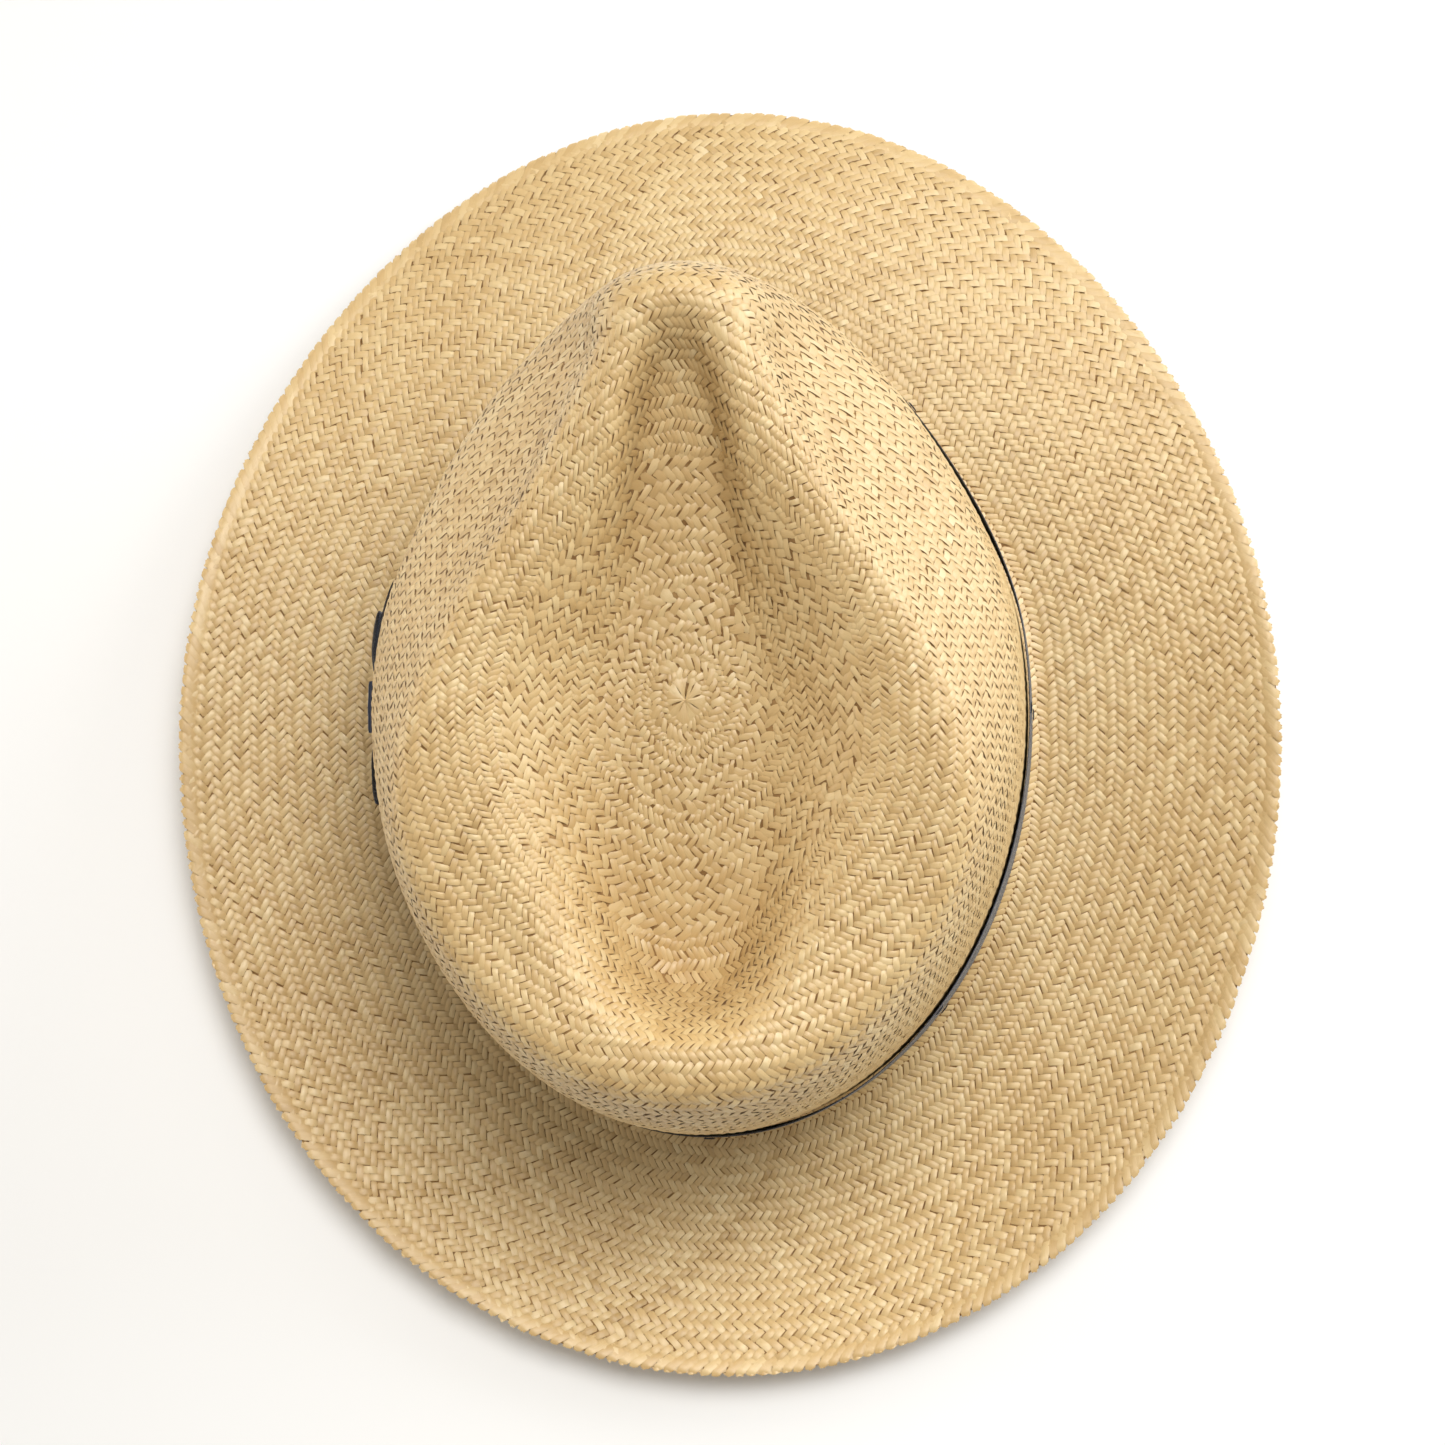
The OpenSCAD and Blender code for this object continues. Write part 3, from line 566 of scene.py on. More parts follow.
# A strand folded round the brim's edge: stations inward from the edge, heights, and slant round the hat
FOLD_IN = np.array([[4.6, 3.7, 2.4, 1.2, 0.35, -0.12, 0.35, 1.2, 2.4, 3.7, 4.6]])
FOLD_HIGH = np.array([[-0.18, 0.2, 0.36, 0.4, 0.34, 0.0, -0.34, -0.4, -0.36, -0.2, 0.18]])
FOLD_SLANT = np.array([[1.3, 1.0, 0.6, 0.22, 0.0, 0.0, 0.0, 0.22, 0.6, 1.0, 1.3]]) * 1.05
FOLD_WIDTH = TAU / BRIM_STRANDS * 140 * 0.86
WARP = [(n, q, RANDOM.uniform(0, TAU), RANDOM.uniform(0, TAU))
        for n, q in ((3, 0.02), (5, 0.05), (9, 0.09), (17, 0.13), (31, 0.21), (46, 0.4))]


def warp(g, a):
    """The weave's slow wander: a shift along g in millimetres, and one round the hat."""
    dg = sum(np.sin(n * a + q * g + p) for n, q, p, _ in WARP)
    da = sum(np.cos(n * a - q * g + p) for n, q, _, p in WARP)
    return g + 0.16 * dg, a + 0.16 * da / (20 + g)


def over_under(r, family):
    """Height of a strand at ring r, from -1 under to 1 over: over two, under two."""
    wave = np.sin(math.pi * (r + 0.5) / 2) * (1 if family == "out" else -1)
    bulge = 1.0 if family == "out" else 0.72
    return np.where(wave > 0, np.minimum(wave * 1.25, bulge), np.maximum(wave * 1.25, -0.95))


def across(g, a):
    """How the surface point moves with the angle, per radian."""
    return (SURFACE.at(g, a + EPS)[0] - SURFACE.at(g, a - EPS)[0]) / (2 * EPS)


def zone_strands(weave, start, end, count, family, chosen):
    """Adds the chosen strands of one family in one zone."""
    outgoing = family == "out"
    steps = 2 * round((end - start) / HALF_STEP / 2)
    r = np.arange(-0.5, steps + 0.51, 0.5)[None, :]
    m = chosen[:, None]
    wander = RANDOM.normal(0, 0.05, m.shape)
    a = TAU / count * (m + (-1 if outgoing else 1) * r / 2 + wander)
    g, a = warp(start + (end - start) * r / steps, a)
    g = np.clip(g, 0.2, SURFACE.length - 0.35)
    point, normal = SURFACE.at(g, a)
    run = unit(np.gradient(point, axis=1))
    pitch = np.linalg.norm(np.cross(across(g, a), run), axis=-1) * TAU / count
    half_w = np.clip(pitch, 0.7, 3.4) / 2 * RANDOM.uniform(0.9, 1.01, m.shape)
    ends = smooth((r + 0.5) / 0.8) * smooth((steps + 0.5 - r) / 0.8)
    high = over_under(r, family) * WAVE_HIGH * RANDOM.uniform(0.85, 1.12, m.shape)
    high = high * ends - 0.1 * (1 - ends)
    centre = point + normal * (high - STRAW_T / 2)[..., None]
    half_t = STRAND_HALF_T * RANDOM.uniform(0.85, 1.1, m.shape) * (0.45 + 0.55 * ends)
    float_tones = RANDOM.normal(0, 0.07, (len(chosen), steps // 2 + 2))
    float_at = np.clip(((r[0] + (0 if outgoing else 2)) // 2).astype(int), 0, steps // 2)
    tone = 0.45 + RANDOM.normal(0, 0.13, m.shape) + float_tones[:, float_at]
    thinned = np.where(RANDOM.random(len(chosen)) < 0.14, 0.5, RANDOM.uniform(0, 0.25, len(chosen)))
    weave.add(centre, normal, half_w, half_t, tone, thinned)


def rosette(weave):
    """The flat straws that cross in the crown's middle and fan out to the first woven rings."""
    widths = RANDOM.uniform(0.6, 1.6, ROSETTE_STRAWS)
    ends = np.concatenate([[0], np.cumsum(widths)]) / widths.sum() * TAU
    half_t = np.full(ROSETTE_G.shape, STRAND_HALF_T)
    for k, (a0, a1) in enumerate(zip(ends[:-1], ends[1:])):
        bend = 0.25 * (1 - ROSETTE_G / ROSETTE_G.max())
        point, normal = SURFACE.at(ROSETTE_G, (a0 + a1) / 2 + bend * (1 if k % 2 else -1))
        half_w = np.minimum(1.5, (a1 - a0) * (ROSETTE_G + 0.9) / 2 * 1.04)
        tone = np.full(ROSETTE_G.shape, 0.55 + RANDOM.normal(0, 0.12))
        top = point + normal * (ROSETTE_ARCH - STRAW_T / 2 + 0.04 * (k % 3))[..., None]
        under = point - normal * (ROSETTE_ARCH + STRAW_T / 2)[..., None]
        weave.add(top, normal, half_w, half_t, tone, np.array([0.8 if k % 4 == 1 else 0.1]))
        weave.add(under, normal, half_w, half_t, tone, np.array([0.1]))


def brim_edge(weave):
    """Strands folded back round the brim's edge: long floats on top, tucked in below."""
    m = np.arange(BRIM_STRANDS)[:, None]
    a = TAU / BRIM_STRANDS * (m + FOLD_SLANT + RANDOM.normal(0, 0.06, m.shape))
    wobble = 0.12 * np.sin(41 * a) + 0.1 * np.sin(97 * a + 1)
    g = SURFACE.length - 0.3 - FOLD_IN + wobble * (FOLD_IN < 3)
    inside = np.minimum(g, SURFACE.length)
    point, normal = SURFACE.at(inside, a)
    outward = unit(point - SURFACE.at(inside - 0.5, a)[0])
    centre = point + outward * (g - inside)[..., None] + normal * (FOLD_HIGH - STRAW_T / 2)[..., None]
    # The face turns with the strand, so its normal is square to both its run and the edge
    face = unit(np.cross(unit(np.gradient(centre, axis=1)), unit(across(inside, a))))
    half_w = np.full(a.shape, FOLD_WIDTH / 2) * RANDOM.uniform(0.92, 1.04, m.shape)
    tone = 0.42 + RANDOM.normal(0, 0.13, m.shape) + 0 * a
    thinned = np.where(RANDOM.random(len(m)) < 0.2, 0.7, 0.1)
    weave.add(centre, face, half_w, np.full(a.shape, STRAND_HALF_T * 0.9), tone, thinned)


def gap_shade_sheet():
    """Thin sheet inside the weave, coloured dark brown as painted shade, which shows in the gaps between the
    strands.
    """
    g = np.linspace(0.8, SURFACE.length - 0.8, 124)[None, :]
    a = np.linspace(0, TAU, 300, endpoint=False)[:, None]
    point, normal = SURFACE.at(g + 0 * a, a + 0 * g)
    upper, lower = (point + normal * (off - STRAW_T / 2) for off in (0.03, -0.03))
    ring = np.concatenate([upper, lower[:, ::-1]], 1)
    index = np.arange(ring.shape[0] * ring.shape[1]).reshape(ring.shape[:2])
    quads = ring_quads(index, np.roll(index, -1, 0))
    mesh = fast_mesh("straw_gap_shade", placed(ring.reshape(-1, 3)), quads)
    add_piece("straw_gap_shade", mesh, GAP_SHADE, ["straw_body"])


def straw():
    """The whole woven straw body, in pieces that an exporter can hold."""
    # Sheet of painted shade that shows in the gaps between the strands
    gap_shade_sheet()
    tip = Weave()
    rosette(tip)
    for zone in TIP_ZONES:
        for family in ("out", "in"):
            zone_strands(tip, *zone, family, np.arange(zone[-1]))
    tip.build("straw_tip_weave")
    for name, start, end, count in LARGE_ZONES:
        for family, turn in (("out", "leftward"), ("in", "rightward")):
            for part, chosen in enumerate(np.split(np.arange(count), 2)):
                weave = Weave()
                zone_strands(weave, start, end, count, family, chosen)
                weave.build(f"straw_{name}_{turn}_{part + 1}")
    edge = Weave()
    brim_edge(edge)
    edge.build("straw_brim_edge")


# ---- Ribbon

RIB = 0.95
RIB_HIGH = 0.11
RIB_COLUMNS = 5
BAND_RIBS = 640
BAND_HALF_T, BOW_HALF_T = 0.2, 0.15
BOW_TURN = math.radians(BOW_ANGLE)
TAIL_START, TAIL_END, TAIL_NOTCH = BACKING_HALF + 0.5, LOOP_LEN + TAIL_OUT, 5.0
# Half of each pair of loops from above: [share of the loop's length, millimetres outward]
LARGE_HALF = [(0, 0), (0.3, 0), (0.6, 0), (0.88, 0.05), (0.96, 0.3), (1, 0.8), (0.96, 1.35), (0.86, 1.75),
              (0.6, 1.9), (0.36, 1.45), (0.21, 0.85), (0, 0.6)]
SMALL_HALF = [(0, 1.2), (0.22, 1.5), (0.38, 2.05), (0.56, 2.45), (0.63, 2.52), (0.69, 2.62), (0.72, 2.95),
              (0.69, 3.28), (0.6, 3.35), (0.4, 2.95), (0.26, 2.2), (0.18, 2), (0, 1.85)]


def along_wall(s, a):
    """Radians round the crown for s millimetres along the wall next to angle a."""
    return s / math.hypot(BASE_X * math.sin(a), BASE_Y * math.cos(a))


def ribbon_piece(name, columns, half_t, replaces, look, closed=False, lengths=None):
    """Grosgrain ribbon from columns of points [column, row, 3] in millimetres and its half thickness.
    Ribs run along the rows; the ribbon has a front, a back and rolled selvedges."""
    n, rows, _ = columns.shape
    along = (np.roll(columns, -1, 0) - np.roll(columns, 1, 0)) if closed else np.gradient(columns, axis=0)
    normal = unit(np.cross(along, np.gradient(columns, axis=1)))
    step = np.linalg.norm(np.diff(columns[:, rows // 2], axis=0), axis=-1)
    run = np.concatenate([[0], np.cumsum(step)]) if lengths is None else lengths
    rib = RIB_HIGH * np.cos(TAU * run / RIB)
    edge = np.minimum(np.arange(rows), np.arange(rows)[::-1]) == 0
    thick = np.where(edge[None, :], 0.35, 1.0) * (half_t + np.where(edge, 0.02, rib[:, None] * 0.5))
    front = columns + normal * thick[..., None]
    back = columns - normal * thick[..., None]
    ring = np.concatenate([front, back[:, ::-1]], 1)
    k = 2 * rows
    index = np.arange(n * k).reshape(n, k)
    before, after = (index, np.roll(index, -1, 0)) if closed else (index[:-1], index[1:])
    quads = ring_quads(before, after, flip=True)
    u = np.concatenate([run, [run[-1] + step[-1]]]) if closed else run
    height = np.linalg.norm(columns[0, -1] - columns[0, 0])
    v = np.concatenate([np.linspace(0, height, rows), np.linspace(height, 0, rows)])
    m = len(before)
    u0, u1 = np.repeat(u[:m], k), np.repeat(u[1:m + 1], k)
    v0, v1 = np.tile(v, m), np.tile(np.roll(v, -1), m)
    uv = corners((u0, v0), (u1, v0), (u1, v1), (u0, v1))
    if not closed:
        row = np.arange(rows - 1)
        cap = np.stack([row, row + 1, k - 2 - row, k - 1 - row], -1)
        quads = np.concatenate([quads, index[0][cap], index[-1][cap[:, ::-1]]])
        uv = np.concatenate([uv, np.zeros((8 * (rows - 1), 2))])
    mesh = list_mesh(name, placed(ring.reshape(-1, 3)), quads.tolist(), 70)
    add_uv(mesh, "Ribbon", uv)
    add_piece(name, mesh, look, replaces)


def curve_through(points, closed, steps):
    """Catmull-Rom curve through points, with even steps by length."""
    p = np.asarray(points, float)
    if closed:
        q = np.concatenate([p[-1:], p, p[:2]])
    else:
        q = np.concatenate([2 * p[:1] - p[1:2], p, 2 * p[-1:] - p[-2:-1]])
    t = np.linspace(0, 1, 24, endpoint=False)[:, None]
    fine = []
    for i in range(1, len(q) - 2):
        a, b, c, d = q[i - 1:i + 3]
        fine.append(0.5 * (2 * b + (c - a) * t + (2 * a - 5 * b + 4 * c - d) * t ** 2
                           + (3 * b - a - 3 * c + d) * t ** 3))
    fine = np.concatenate(fine + [q[-2:-1]])
    s = np.concatenate([[0], np.cumsum(np.linalg.norm(np.diff(fine, axis=0), axis=-1))])
    want = np.linspace(0, s[-1], steps + 1)
    even = np.stack([np.interp(want, s, fine[:, c]) for c in range(fine.shape[1])], -1)
    return even[:-1] if closed else even


def length_of(points):
    return np.linalg.norm(np.diff(np.array(points), axis=0), axis=-1).sum()


def columns_for(length):
    """Columns of a ribbon of that length, in whole ribs."""
    return max(12, int(round(length / RIB)) * RIB_COLUMNS)


def hat_band():
    """The band lies flat under the bow and eases off the straw elsewhere."""
    count = BAND_RIBS * RIB_COLUMNS
    a = np.linspace(0, TAU, count, endpoint=False)
    share = np.linspace(0, 1, 12)
    low = BAND_Z + 0.1 * np.sin(3 * a + 1) + 0.08 * np.sin(7 * a)
    high = BAND_TOP - 0.35 + 0.22 * np.sin(2 * a + 0.5) + 0.12 * np.sin(5 * a + 2)
    z = low[:, None] + (high - low)[:, None] * share
    from_bow = np.abs(np.mod(a - BOW_TURN + math.pi, TAU) - math.pi)
    lift = 0.75 + 0.25 * np.sin(4 * a + 0.3)[:, None] * share
    ease = 0.45 * smooth((from_bow - 0.5) / 0.5)[:, None] * lift
    columns = wall_point(z, a[:, None] + 0 * z, GAP + BAND_T / 2 + 0.02 + ease)
    ribs = np.arange(count) * RIB / RIB_COLUMNS
    ribbon_piece("hat_band_ribbon", columns, BAND_HALF_T, ["hat_band"], BAND_RIBBON, True, ribs)


def wall_ribbon(name, path, trims, replaces, look, closed=False, rows=10, shape=None):
    """Ribbon that stands on its edge along a path of [along, outward] round the bow's angle.
    Its trims are how far its edges stay inside the band's."""
    share = np.linspace(0, 1, rows)
    low, high = BAND_Z + trims[0], BAND_TOP - trims[1]
    z = low + (high - low) * share[None, :] + 0 * path[:, :1]
    s, out = path[:, 0:1] + 0 * z, path[:, 1:2] + 0 * z
    if shape is not None:
        z, out, s = shape(z, out, s, share)
    columns = wall_point(z, BOW_TURN + along_wall(s, BOW_TURN), out)
    ribbon_piece(name, columns, BOW_HALF_T, replaces, look, closed)


def flat_path(s0, s1, under):
    """Path of a flat ribbon on whatever ends at that outward place."""
    n = columns_for(s1 - s0)
    return np.stack([np.linspace(s0, s1, n), np.full(n, under + BOW_T / 2)], -1)


def notched(z, out, s, share):
    """Cuts the tail's end to a swallow's tail, and lets it lift a little."""
    u = (s - TAIL_START) / (TAIL_END - TAIL_START)
    s = TAIL_START + u * (TAIL_END - TAIL_START - TAIL_NOTCH * (1 - np.abs(2 * share - 1)))
    return z, out + 0.5 * u ** 2 * np.sin(share * math.pi) + 0.12 * np.sin(6 * u) * u, s


def gathered(z, out, s, share):
    """Pulls a loop's edges in towards the knot, and lets its front wave a little."""
    middle = (BAND_Z + BAND_TOP) / 2
    z = middle + (z - middle) * (1 - 0.05 * np.exp(-(s / 9.0) ** 2))
    ripple = np.sin(share * math.pi * 3 + s * 0.12) * np.exp(-((np.abs(s) - 15) / 6.0) ** 2)
    return z, out + 0.12 * ripple, s


def bow():
    wall_ribbon("band_lap_ribbon", flat_path(-LAP_HALF, LAP_HALF, LAP_IN), (0.1, 0.2), ["band_lap"],
                BAND_RIBBON)
    wall_ribbon("bow_backing_ribbon", flat_path(-BACKING_HALF, BACKING_HALF, PLY_IN), (0.2, 0.3),
                ["bow_backing"], BOW_RIBBON)
    wall_ribbon("bow_tail_ribbon", flat_path(TAIL_START, TAIL_END, PLY_IN), (0.3, 0.4), ["bow_tail"],
                BOW_RIBBON, rows=13, shape=notched)
    for node_name, half, trim in (("bow_loops", LARGE_HALF, 0.2), ("bow_top_loops", SMALL_HALF, 1.2)):
        around = half + [(-share, out) for share, out in half[-2:0:-1]]
        knots = [(share * LOOP_LEN, out + LOOP_IN) for share, out in around]
        path = curve_through(knots, True, columns_for(length_of(knots + knots[:1])))
        wall_ribbon(f"{node_name}_ribbon", path, (trim, trim), [node_name], BOW_RIBBON,
                    closed=True, rows=14, shape=gathered)


def bow_knot():
    """Short ribbon folded over the bow from below to above, its ribs across its run."""
    low, high, under = BAND_Z - BOW_EDGE, BAND_TOP + BOW_EDGE, PLY_IN + BOW_T + PLY_GAP
    turn, crown = 1.2, 0.4
    shoulder_out, face = KNOT_OUT - 0.3 * turn, KNOT_OUT + 0.2
    knots = [(low + 0.3, under), (low, KNOT_OUT - turn), (low + 0.4 * turn, shoulder_out),
             (low + 2 * turn, face), ((low + high) / 2, KNOT_OUT + crown), (high - 2 * turn, face),
             (high - 0.4 * turn, shoulder_out), (high, KNOT_OUT - turn), (high - 0.3, under)]
    path = curve_through(knots, False, columns_for(length_of(knots)))
    share = np.linspace(-0.5, 0.5, 12)[None, :]
    middle = 1 - np.linspace(-1, 1, len(path))[:, None] ** 2
    s = KNOT_W * share * (1 - 0.1 * middle)
    fold = middle * (0.14 * np.cos(share * TAU * 2.2) - 0.3 * (2 * share) ** 4)
    columns = wall_point(path[:, 0:1] + 0 * s, BOW_TURN + along_wall(s, BOW_TURN), path[:, 1:2] + fold + 0.35)
    ribbon_piece("bow_knot_ribbon", columns[:, ::-1], BOW_HALF_T, ["bow_knot"], BOW_RIBBON)


# ---- Trim and sweatband

STITCH_W = 4.2
STITCH_HALF_T = 0.2
BACK = math.pi / 2
# The little bow over the sweatband's seam: half its knot, its length to one side and its half height
SEAM_KNOT, SEAM_BOW, SEAM_BOW_HALF = 1.8, 9.0, 3
SEAM_BOW_Z = REED_Z + 6
SHEET_T = 0.3
TAG_Z = REED_Z + 9


def tube(points, radius, normals, sides=8):
    """Round thread along points [station, 3], with closed round ends, as points and faces."""
    d = unit(np.gradient(points, axis=0))
    side = unit(np.cross(d, normals))
    up = np.cross(side, d)
    t = np.linspace(0, TAU, sides, endpoint=False)[None, :, None]
    n = len(points)
    size = np.sqrt(np.clip(1 - np.linspace(-1, 1, n) ** 6, 0.05, 1))[:, None, None] * radius
    ring = points[:, None] + size * (np.cos(t) * side[:, None] + np.sin(t) * up[:, None])
    index = np.arange(n * sides).reshape(n, sides)
    faces = ring_quads(index[:-1], index[1:]).tolist() + [index[0].tolist(), index[-1][::-1].tolist()]
    return ring.reshape(-1, 3), faces


def stitched(name, threads, replaces, look):
    """One piece of many threads."""
    points, faces, start = [], [], 0
    for thread, thread_faces in threads:
        points.append(thread)
        faces += [[i + start for i in face] for face in thread_faces]
        start += len(thread)
    mesh = list_mesh(name, placed(np.concatenate(points)), faces, 40)
    add_piece(name, mesh, look, replaces)


def wall_thread(half, z0, z1, out, a, radius, rise):
    """Stitch from one hole to another along the wall next to angle a, arched off it."""
    t = np.linspace(0, 1, 9)
    z = z0 + (z1 - z0) * t
    arch = rise * (1 - (2 * t - 1) ** 4) - 0.1
    spot = a + along_wall(half * (2 * t - 1), a)
    points = wall_point(z, spot, out + arch * np.sign(out + 1e-9))
    return tube(points, radius, wall_point(z, spot, out + 1) - wall_point(z, spot, out))


def band_tacks():
    """Tacks in pairs, near the band's two edges."""
    half, inset, edge_on = 1.5, 1.2, 80
    threads = []
    for angle in (-90, -135, 180, 135, 90, 45, -50):
        out = BAND_OUT + (0.5 if abs(angle) > edge_on else 0.3)
        for z in (BAND_Z + inset, BAND_TOP - inset):
            threads.append(wall_thread(half, z, z + 0.25, out, math.radians(angle), 0.17, 0.12))
    stitched("band_tack_threads", threads, ["band_tacks"], DARK_THREAD)


def ring_piece(name, profile, count, replaces, look, wave):
    """Closed ring round the crown's inside from a closed profile of [outward, height]."""
    a = np.linspace(0, TAU, count, endpoint=False)[:, None]
    profile = np.asarray(profile, float)
    out, z = wave(a, profile[:, 0] + 0 * a, profile[:, 1] + 0 * a)
    points = wall_point(z, a + 0 * z, out)
    index = np.arange(z.size).reshape(z.shape)
    quads = ring_quads(index, np.roll(index, -1, 0), flip=True)
    add_piece(name, list_mesh(name, placed(points.reshape(-1, 3)), quads.tolist(), 50), look, replaces)


def sweat_out(z):
    """Outward place of the middle of the sweatband's leather at height z."""
    return SWEAT_FOOT_O + (SWEAT_TOP_O - SWEAT_FOOT_O) * (z - REED_Z) / SWEAT_H - SWEAT_T / 2


def sweatband():
    """The leather with its two tooled lines. Returns the stitches that hold its foot to the tape."""
    half = SWEAT_T / 2 - 0.06
    stitch_z = REED_Z + 2.4
    z = np.linspace(REED_Z, SWEAT_TOP, 22)
    tooled = 0.16 * np.exp(-((z - (SWEAT_TOP - 2.6)) / 0.45) ** 2)
    tooled += 0.12 * np.exp(-((z - stitch_z) / 0.5) ** 2)
    edge = np.sqrt(np.clip(1 - (2 * (z - REED_Z) / SWEAT_H - 1) ** 30, 0.15, 1))
    inner = np.stack([sweat_out(z) - (half * edge - tooled), z], -1)
    outer = np.stack([sweat_out(z) + half * edge, z], -1)

    def rippled(a, out, z):
        high = np.clip((z - REED_Z) / SWEAT_H, 0, 1)
        ripple = 0.1 * np.sin(9 * a + 1) + 0.07 * np.sin(23 * a) + 0.05 * np.sin(31 * a + 2)
        return out - np.abs(ripple) * high ** 2, z + 0.12 * np.sin(5 * a) * high

    ring_piece("sweatband_leather_band", np.concatenate([outer, inner[::-1]]), 360, ["sweatband"],
               LEATHER, rippled)
    out = sweat_out(stitch_z) - half + 0.14
    turns = TAU * (np.arange(STITCH_COUNT * 2) + 0.5) / (STITCH_COUNT * 2)
    return [wall_thread(1.5, stitch_z, stitch_z, out, a, STITCH_HALF_T, 0.12) for a in turns]


def reed_tape():
    turns = np.radians(np.linspace(200, 520, 15))
    outer = [(REED_O + TAPE_R * math.cos(t), REED_Z + TAPE_R * math.sin(t)) for t in turns]
    thin = TAPE_R - TAPE_T
    inner = [(REED_O + thin * math.cos(t), REED_Z + thin * math.sin(t)) for t in turns[::-1]]

    def puckered(a, out, z):
        pull = 0.07 * np.cos(a * STITCH_COUNT)
        return out + pull * (out - REED_O), z + pull * (z - REED_Z)

    ring_piece("reed_tape_cotton", outer + inner, 576, ["reed_tape"], TAPE, puckered)


def stitching(sweatband_stitches):
    """The stitches of the sweatband's foot, and those that sew the reed to the straw."""
    turn, reach = math.radians(60), TAPE_R + 0.22
    out, z = REED_O - reach * math.cos(turn), REED_Z - reach * math.sin(turn)
    threads = list(sweatband_stitches)
    for a in TAU * (np.arange(STITCH_COUNT) + 0.5) / STITCH_COUNT:
        threads.append(wall_thread(STITCH_W / 2, z + 0.12, z + 0.02, out, a, STITCH_HALF_T, 0.14))
    stitched("sweatband_stitch_threads", threads, ["sweatband_stitching"], THREAD)


def sheet_piece(name, s_ends, z_ends, off, thick, replaces, look, shape=None, n=(26, 26)):
    """Thin sheet on the sweatband's inner face at the back, as a closed body with rounded edges."""
    s, z = np.meshgrid(np.linspace(*s_ends, n[0]), np.linspace(*z_ends, n[1]), indexing="ij")
    lift = 0
    if shape is not None:
        s, z, lift = shape(s, z)
    face = sweat_out(z) - SWEAT_T / 2 - off - lift
    u, v = np.linspace(-1, 1, n[0])[:, None], np.linspace(-1, 1, n[1])[None, :]
    edge = np.sqrt(np.clip((1 - u ** 16) * (1 - v ** 16), 0.05, 1))
    a = BACK + along_wall(s, BACK)
    layers = [wall_point(z, a, face - thick * (0.5 + side * 0.5 * edge)) for side in (-1, 1)]
    points = np.concatenate(layers).reshape(-1, 3)
    index = np.arange(n[0] * n[1]).reshape(n)
    one = np.stack([index[:-1, :-1], index[1:, :-1], index[1:, 1:], index[:-1, 1:]], -1).reshape(-1, 4)
    rim = np.concatenate([index[:, 0], index[-1, 1:], index[-2::-1, -1], index[0, -2:0:-1]])
    nxt = np.roll(rim, -1)
    sides = np.stack([rim, rim + index.size, nxt + index.size, nxt], -1)
    faces = np.concatenate([one, one[:, ::-1] + index.size, sides])
    mesh = list_mesh(name, placed(points), faces.tolist(), 60)
    add_uv(mesh, "Ribbon", np.tile(np.stack([s, z], -1).reshape(-1, 2), (2, 1))[faces.ravel()])
    add_piece(name, mesh, look, replaces)


def puffed(layer):
    """Shape of one layer of the seam bow's loop: narrow at the knot, and arched by its share."""
    def shape(s, z):
        u = (np.abs(s) - SEAM_KNOT) / (SEAM_BOW - SEAM_KNOT)
        tall = 0.55 + 0.45 * np.clip(u, 0, 1) ** 0.7
        puff = (0.2 + 1.3 * np.sin(math.pi * np.clip(0.12 + 0.8 * u, 0, 1))) * layer
        return s, SEAM_BOW_Z + (z - SEAM_BOW_Z) * tall, puff
    return shape


def sweatband_trim():
    """Seam cover, little bow and tag at the back of the sweatband."""
    sheet_piece("sweatband_seam_cover", (-SEAM_W / 2, SEAM_W / 2), (REED_Z + 0.5, SWEAT_TOP - 1), TRIM_GAP,
                SHEET_T, ["sweatband_seam_tape"], LEATHER)
    off = TRIM_GAP + SHEET_T + TRIM_GAP
    bow_z = (SEAM_BOW_Z - SEAM_BOW_HALF, SEAM_BOW_Z + SEAM_BOW_HALF)
    for word, ends in (("right", (-SEAM_BOW, -SEAM_KNOT)), ("left", (SEAM_KNOT, SEAM_BOW))):
        for what, layer in (("under", 0.05), ("over", 1.0)):
            sheet_piece(f"sweatband_bow_{word}_{what}", ends, bow_z, off, SHEET_T, ["sweatband_bow"],
                        BOW_RIBBON, puffed(layer), n=(18, 12))

    def rounded(s, z):
        return s, z, 0.9 - 0.55 * (np.abs(z - SEAM_BOW_Z) / 2.1) ** 3

    def curled(s, z):
        return s, z, 0.12 + 0.1 * np.sin(s * 0.5) * (z - TAG_Z) / 18

    sheet_piece("sweatband_bow_centre", (-1.7, 1.7), (SEAM_BOW_Z - 2.1, SEAM_BOW_Z + 2.1), off, 0.5,
                ["sweatband_bow_knot"], BOW_RIBBON, rounded, n=(12, 14))
    sheet_piece("size_tag_satin", (12, 26), (TAG_Z, TAG_Z + 18), TRIM_GAP, 0.22, ["size_tag"],
                SATIN, curled)


def reed():
    """The reed keeps its own solid, which the tape hides, with its own material."""
    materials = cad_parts["sweatband_reed"].data.materials
    materials.clear()
    materials.append(reed_material())


# ---- Stage

# The photograph's camera, in the level hat's millimetres, and its lens on a 36 mm sensor
CAMERA_AT = (-38.95, 44.66, 799.64)
CAMERA_TO = (-0.38, 2.50, 30.0)
CAMERA_LENS = 76.4
CAMERA_ROLL = math.radians(-0.48)
FLOOR_R, FLOOR_SIDES = 6.0, 24
ROOM_COLOUR, ROOM_LIGHT = (1, 0.95, 0.86, 1), 0.36


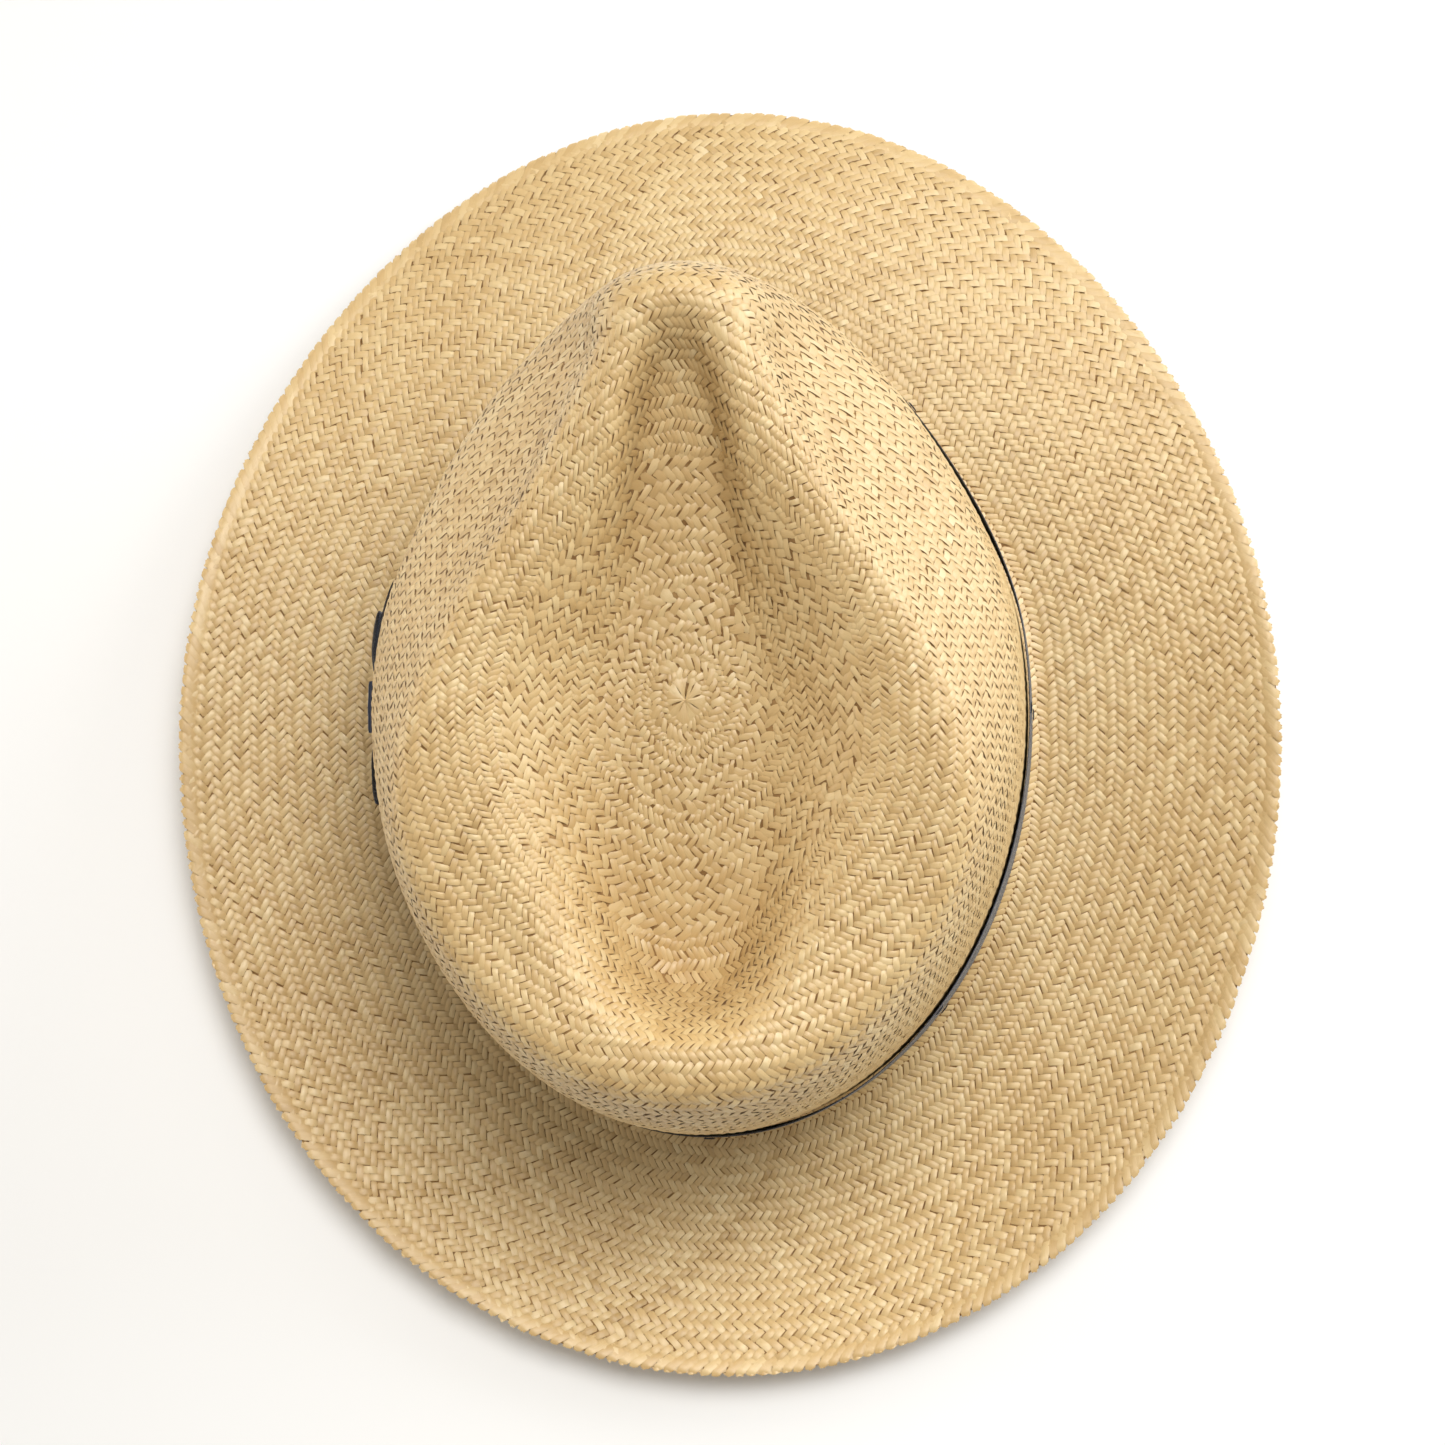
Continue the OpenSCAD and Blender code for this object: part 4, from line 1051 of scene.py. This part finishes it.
def camera():
    at, to = Vector(placed(CAMERA_AT)), Vector(placed(CAMERA_TO))
    back = (at - to).normalized()
    up = -(SEATED.to_3x3() @ Vector((0, 1, 0)))
    right = up.cross(back).normalized()
    up = back.cross(right)
    turn = Matrix((right, up, back)).transposed().to_4x4() @ Matrix.Rotation(CAMERA_ROLL, 4, "Z")
    data = bpy.data.cameras.new("camera")
    data.lens = CAMERA_LENS
    data.sensor_width = 36
    data.clip_start, data.clip_end = 0.05, 20
    cam = bpy.data.objects.new("camera", data)
    cam.matrix_world = Matrix.Translation(at) @ turn
    bpy.context.scene.collection.objects.link(cam)
    bpy.context.scene.camera = cam


def area_light(name, place, size, power, colour, aim=(0, 0, 0.05), spread=180, diffuse=1.0):
    data = bpy.data.lights.new(name, "AREA")
    data.shape = "RECTANGLE"
    data.size, data.size_y = size
    data.diffuse_factor = diffuse
    data.energy = power
    data.color = colour
    data.spread = math.radians(spread)
    lamp = bpy.data.objects.new(name, data)
    lamp.location = place
    lamp.rotation_euler = (Vector(place) - Vector(aim)).to_track_quat("Z", "Y").to_euler()
    bpy.context.scene.collection.objects.link(lamp)


def floor():
    mesh = bpy.data.meshes.new("floor")
    turns = [TAU * i / FLOOR_SIDES for i in range(FLOOR_SIDES)]
    points = [(FLOOR_R * math.cos(t), FLOOR_R * math.sin(t), 0) for t in turns]
    mesh.from_pydata(points, [], [list(range(FLOOR_SIDES))])
    m, shader = material("pale_floor", roughness=0.9, specular=0.1)
    shader.inputs["Base Color"].default_value = (0.93, 0.93, 0.93, 1)
    mesh.materials.append(m)
    ground_plane = bpy.data.objects.new("floor", mesh)
    bpy.context.scene.collection.objects.link(ground_plane)


def lights():
    """A soft key from above the brow, a cool sheen from the right and a fill from the left."""
    world = bpy.data.worlds.new("studio")
    world.use_nodes = True
    background = world.node_tree.nodes["Background"]
    background.inputs["Color"].default_value = ROOM_COLOUR
    background.inputs["Strength"].default_value = ROOM_LIGHT
    bpy.context.scene.world = world
    area_light("key", (-0.28, -0.50, 1.47), (0.9, 0.9), 2.5, (1, 0.99, 0.97), (0, 0.10, 0.05), 54)
    area_light("side", (-1.1, -0.62, 0.42), (1.1, 0.5), 12, (0.88, 0.94, 1.0), diffuse=0.06)
    area_light("fill", (1.2, -0.35, 0.35), (1.0, 0.5), 5, (1, 0.97, 0.92), diffuse=0.7)
    bpy.context.scene.view_settings.view_transform = "Standard"
    bpy.context.scene.view_settings.look = "None"


camera()
floor()
lights()
straw()
hat_band()
bow()
bow_knot()
band_tacks()
foot_stitches = sweatband()
reed_tape()
stitching(foot_stitches)
sweatband_trim()
reed()
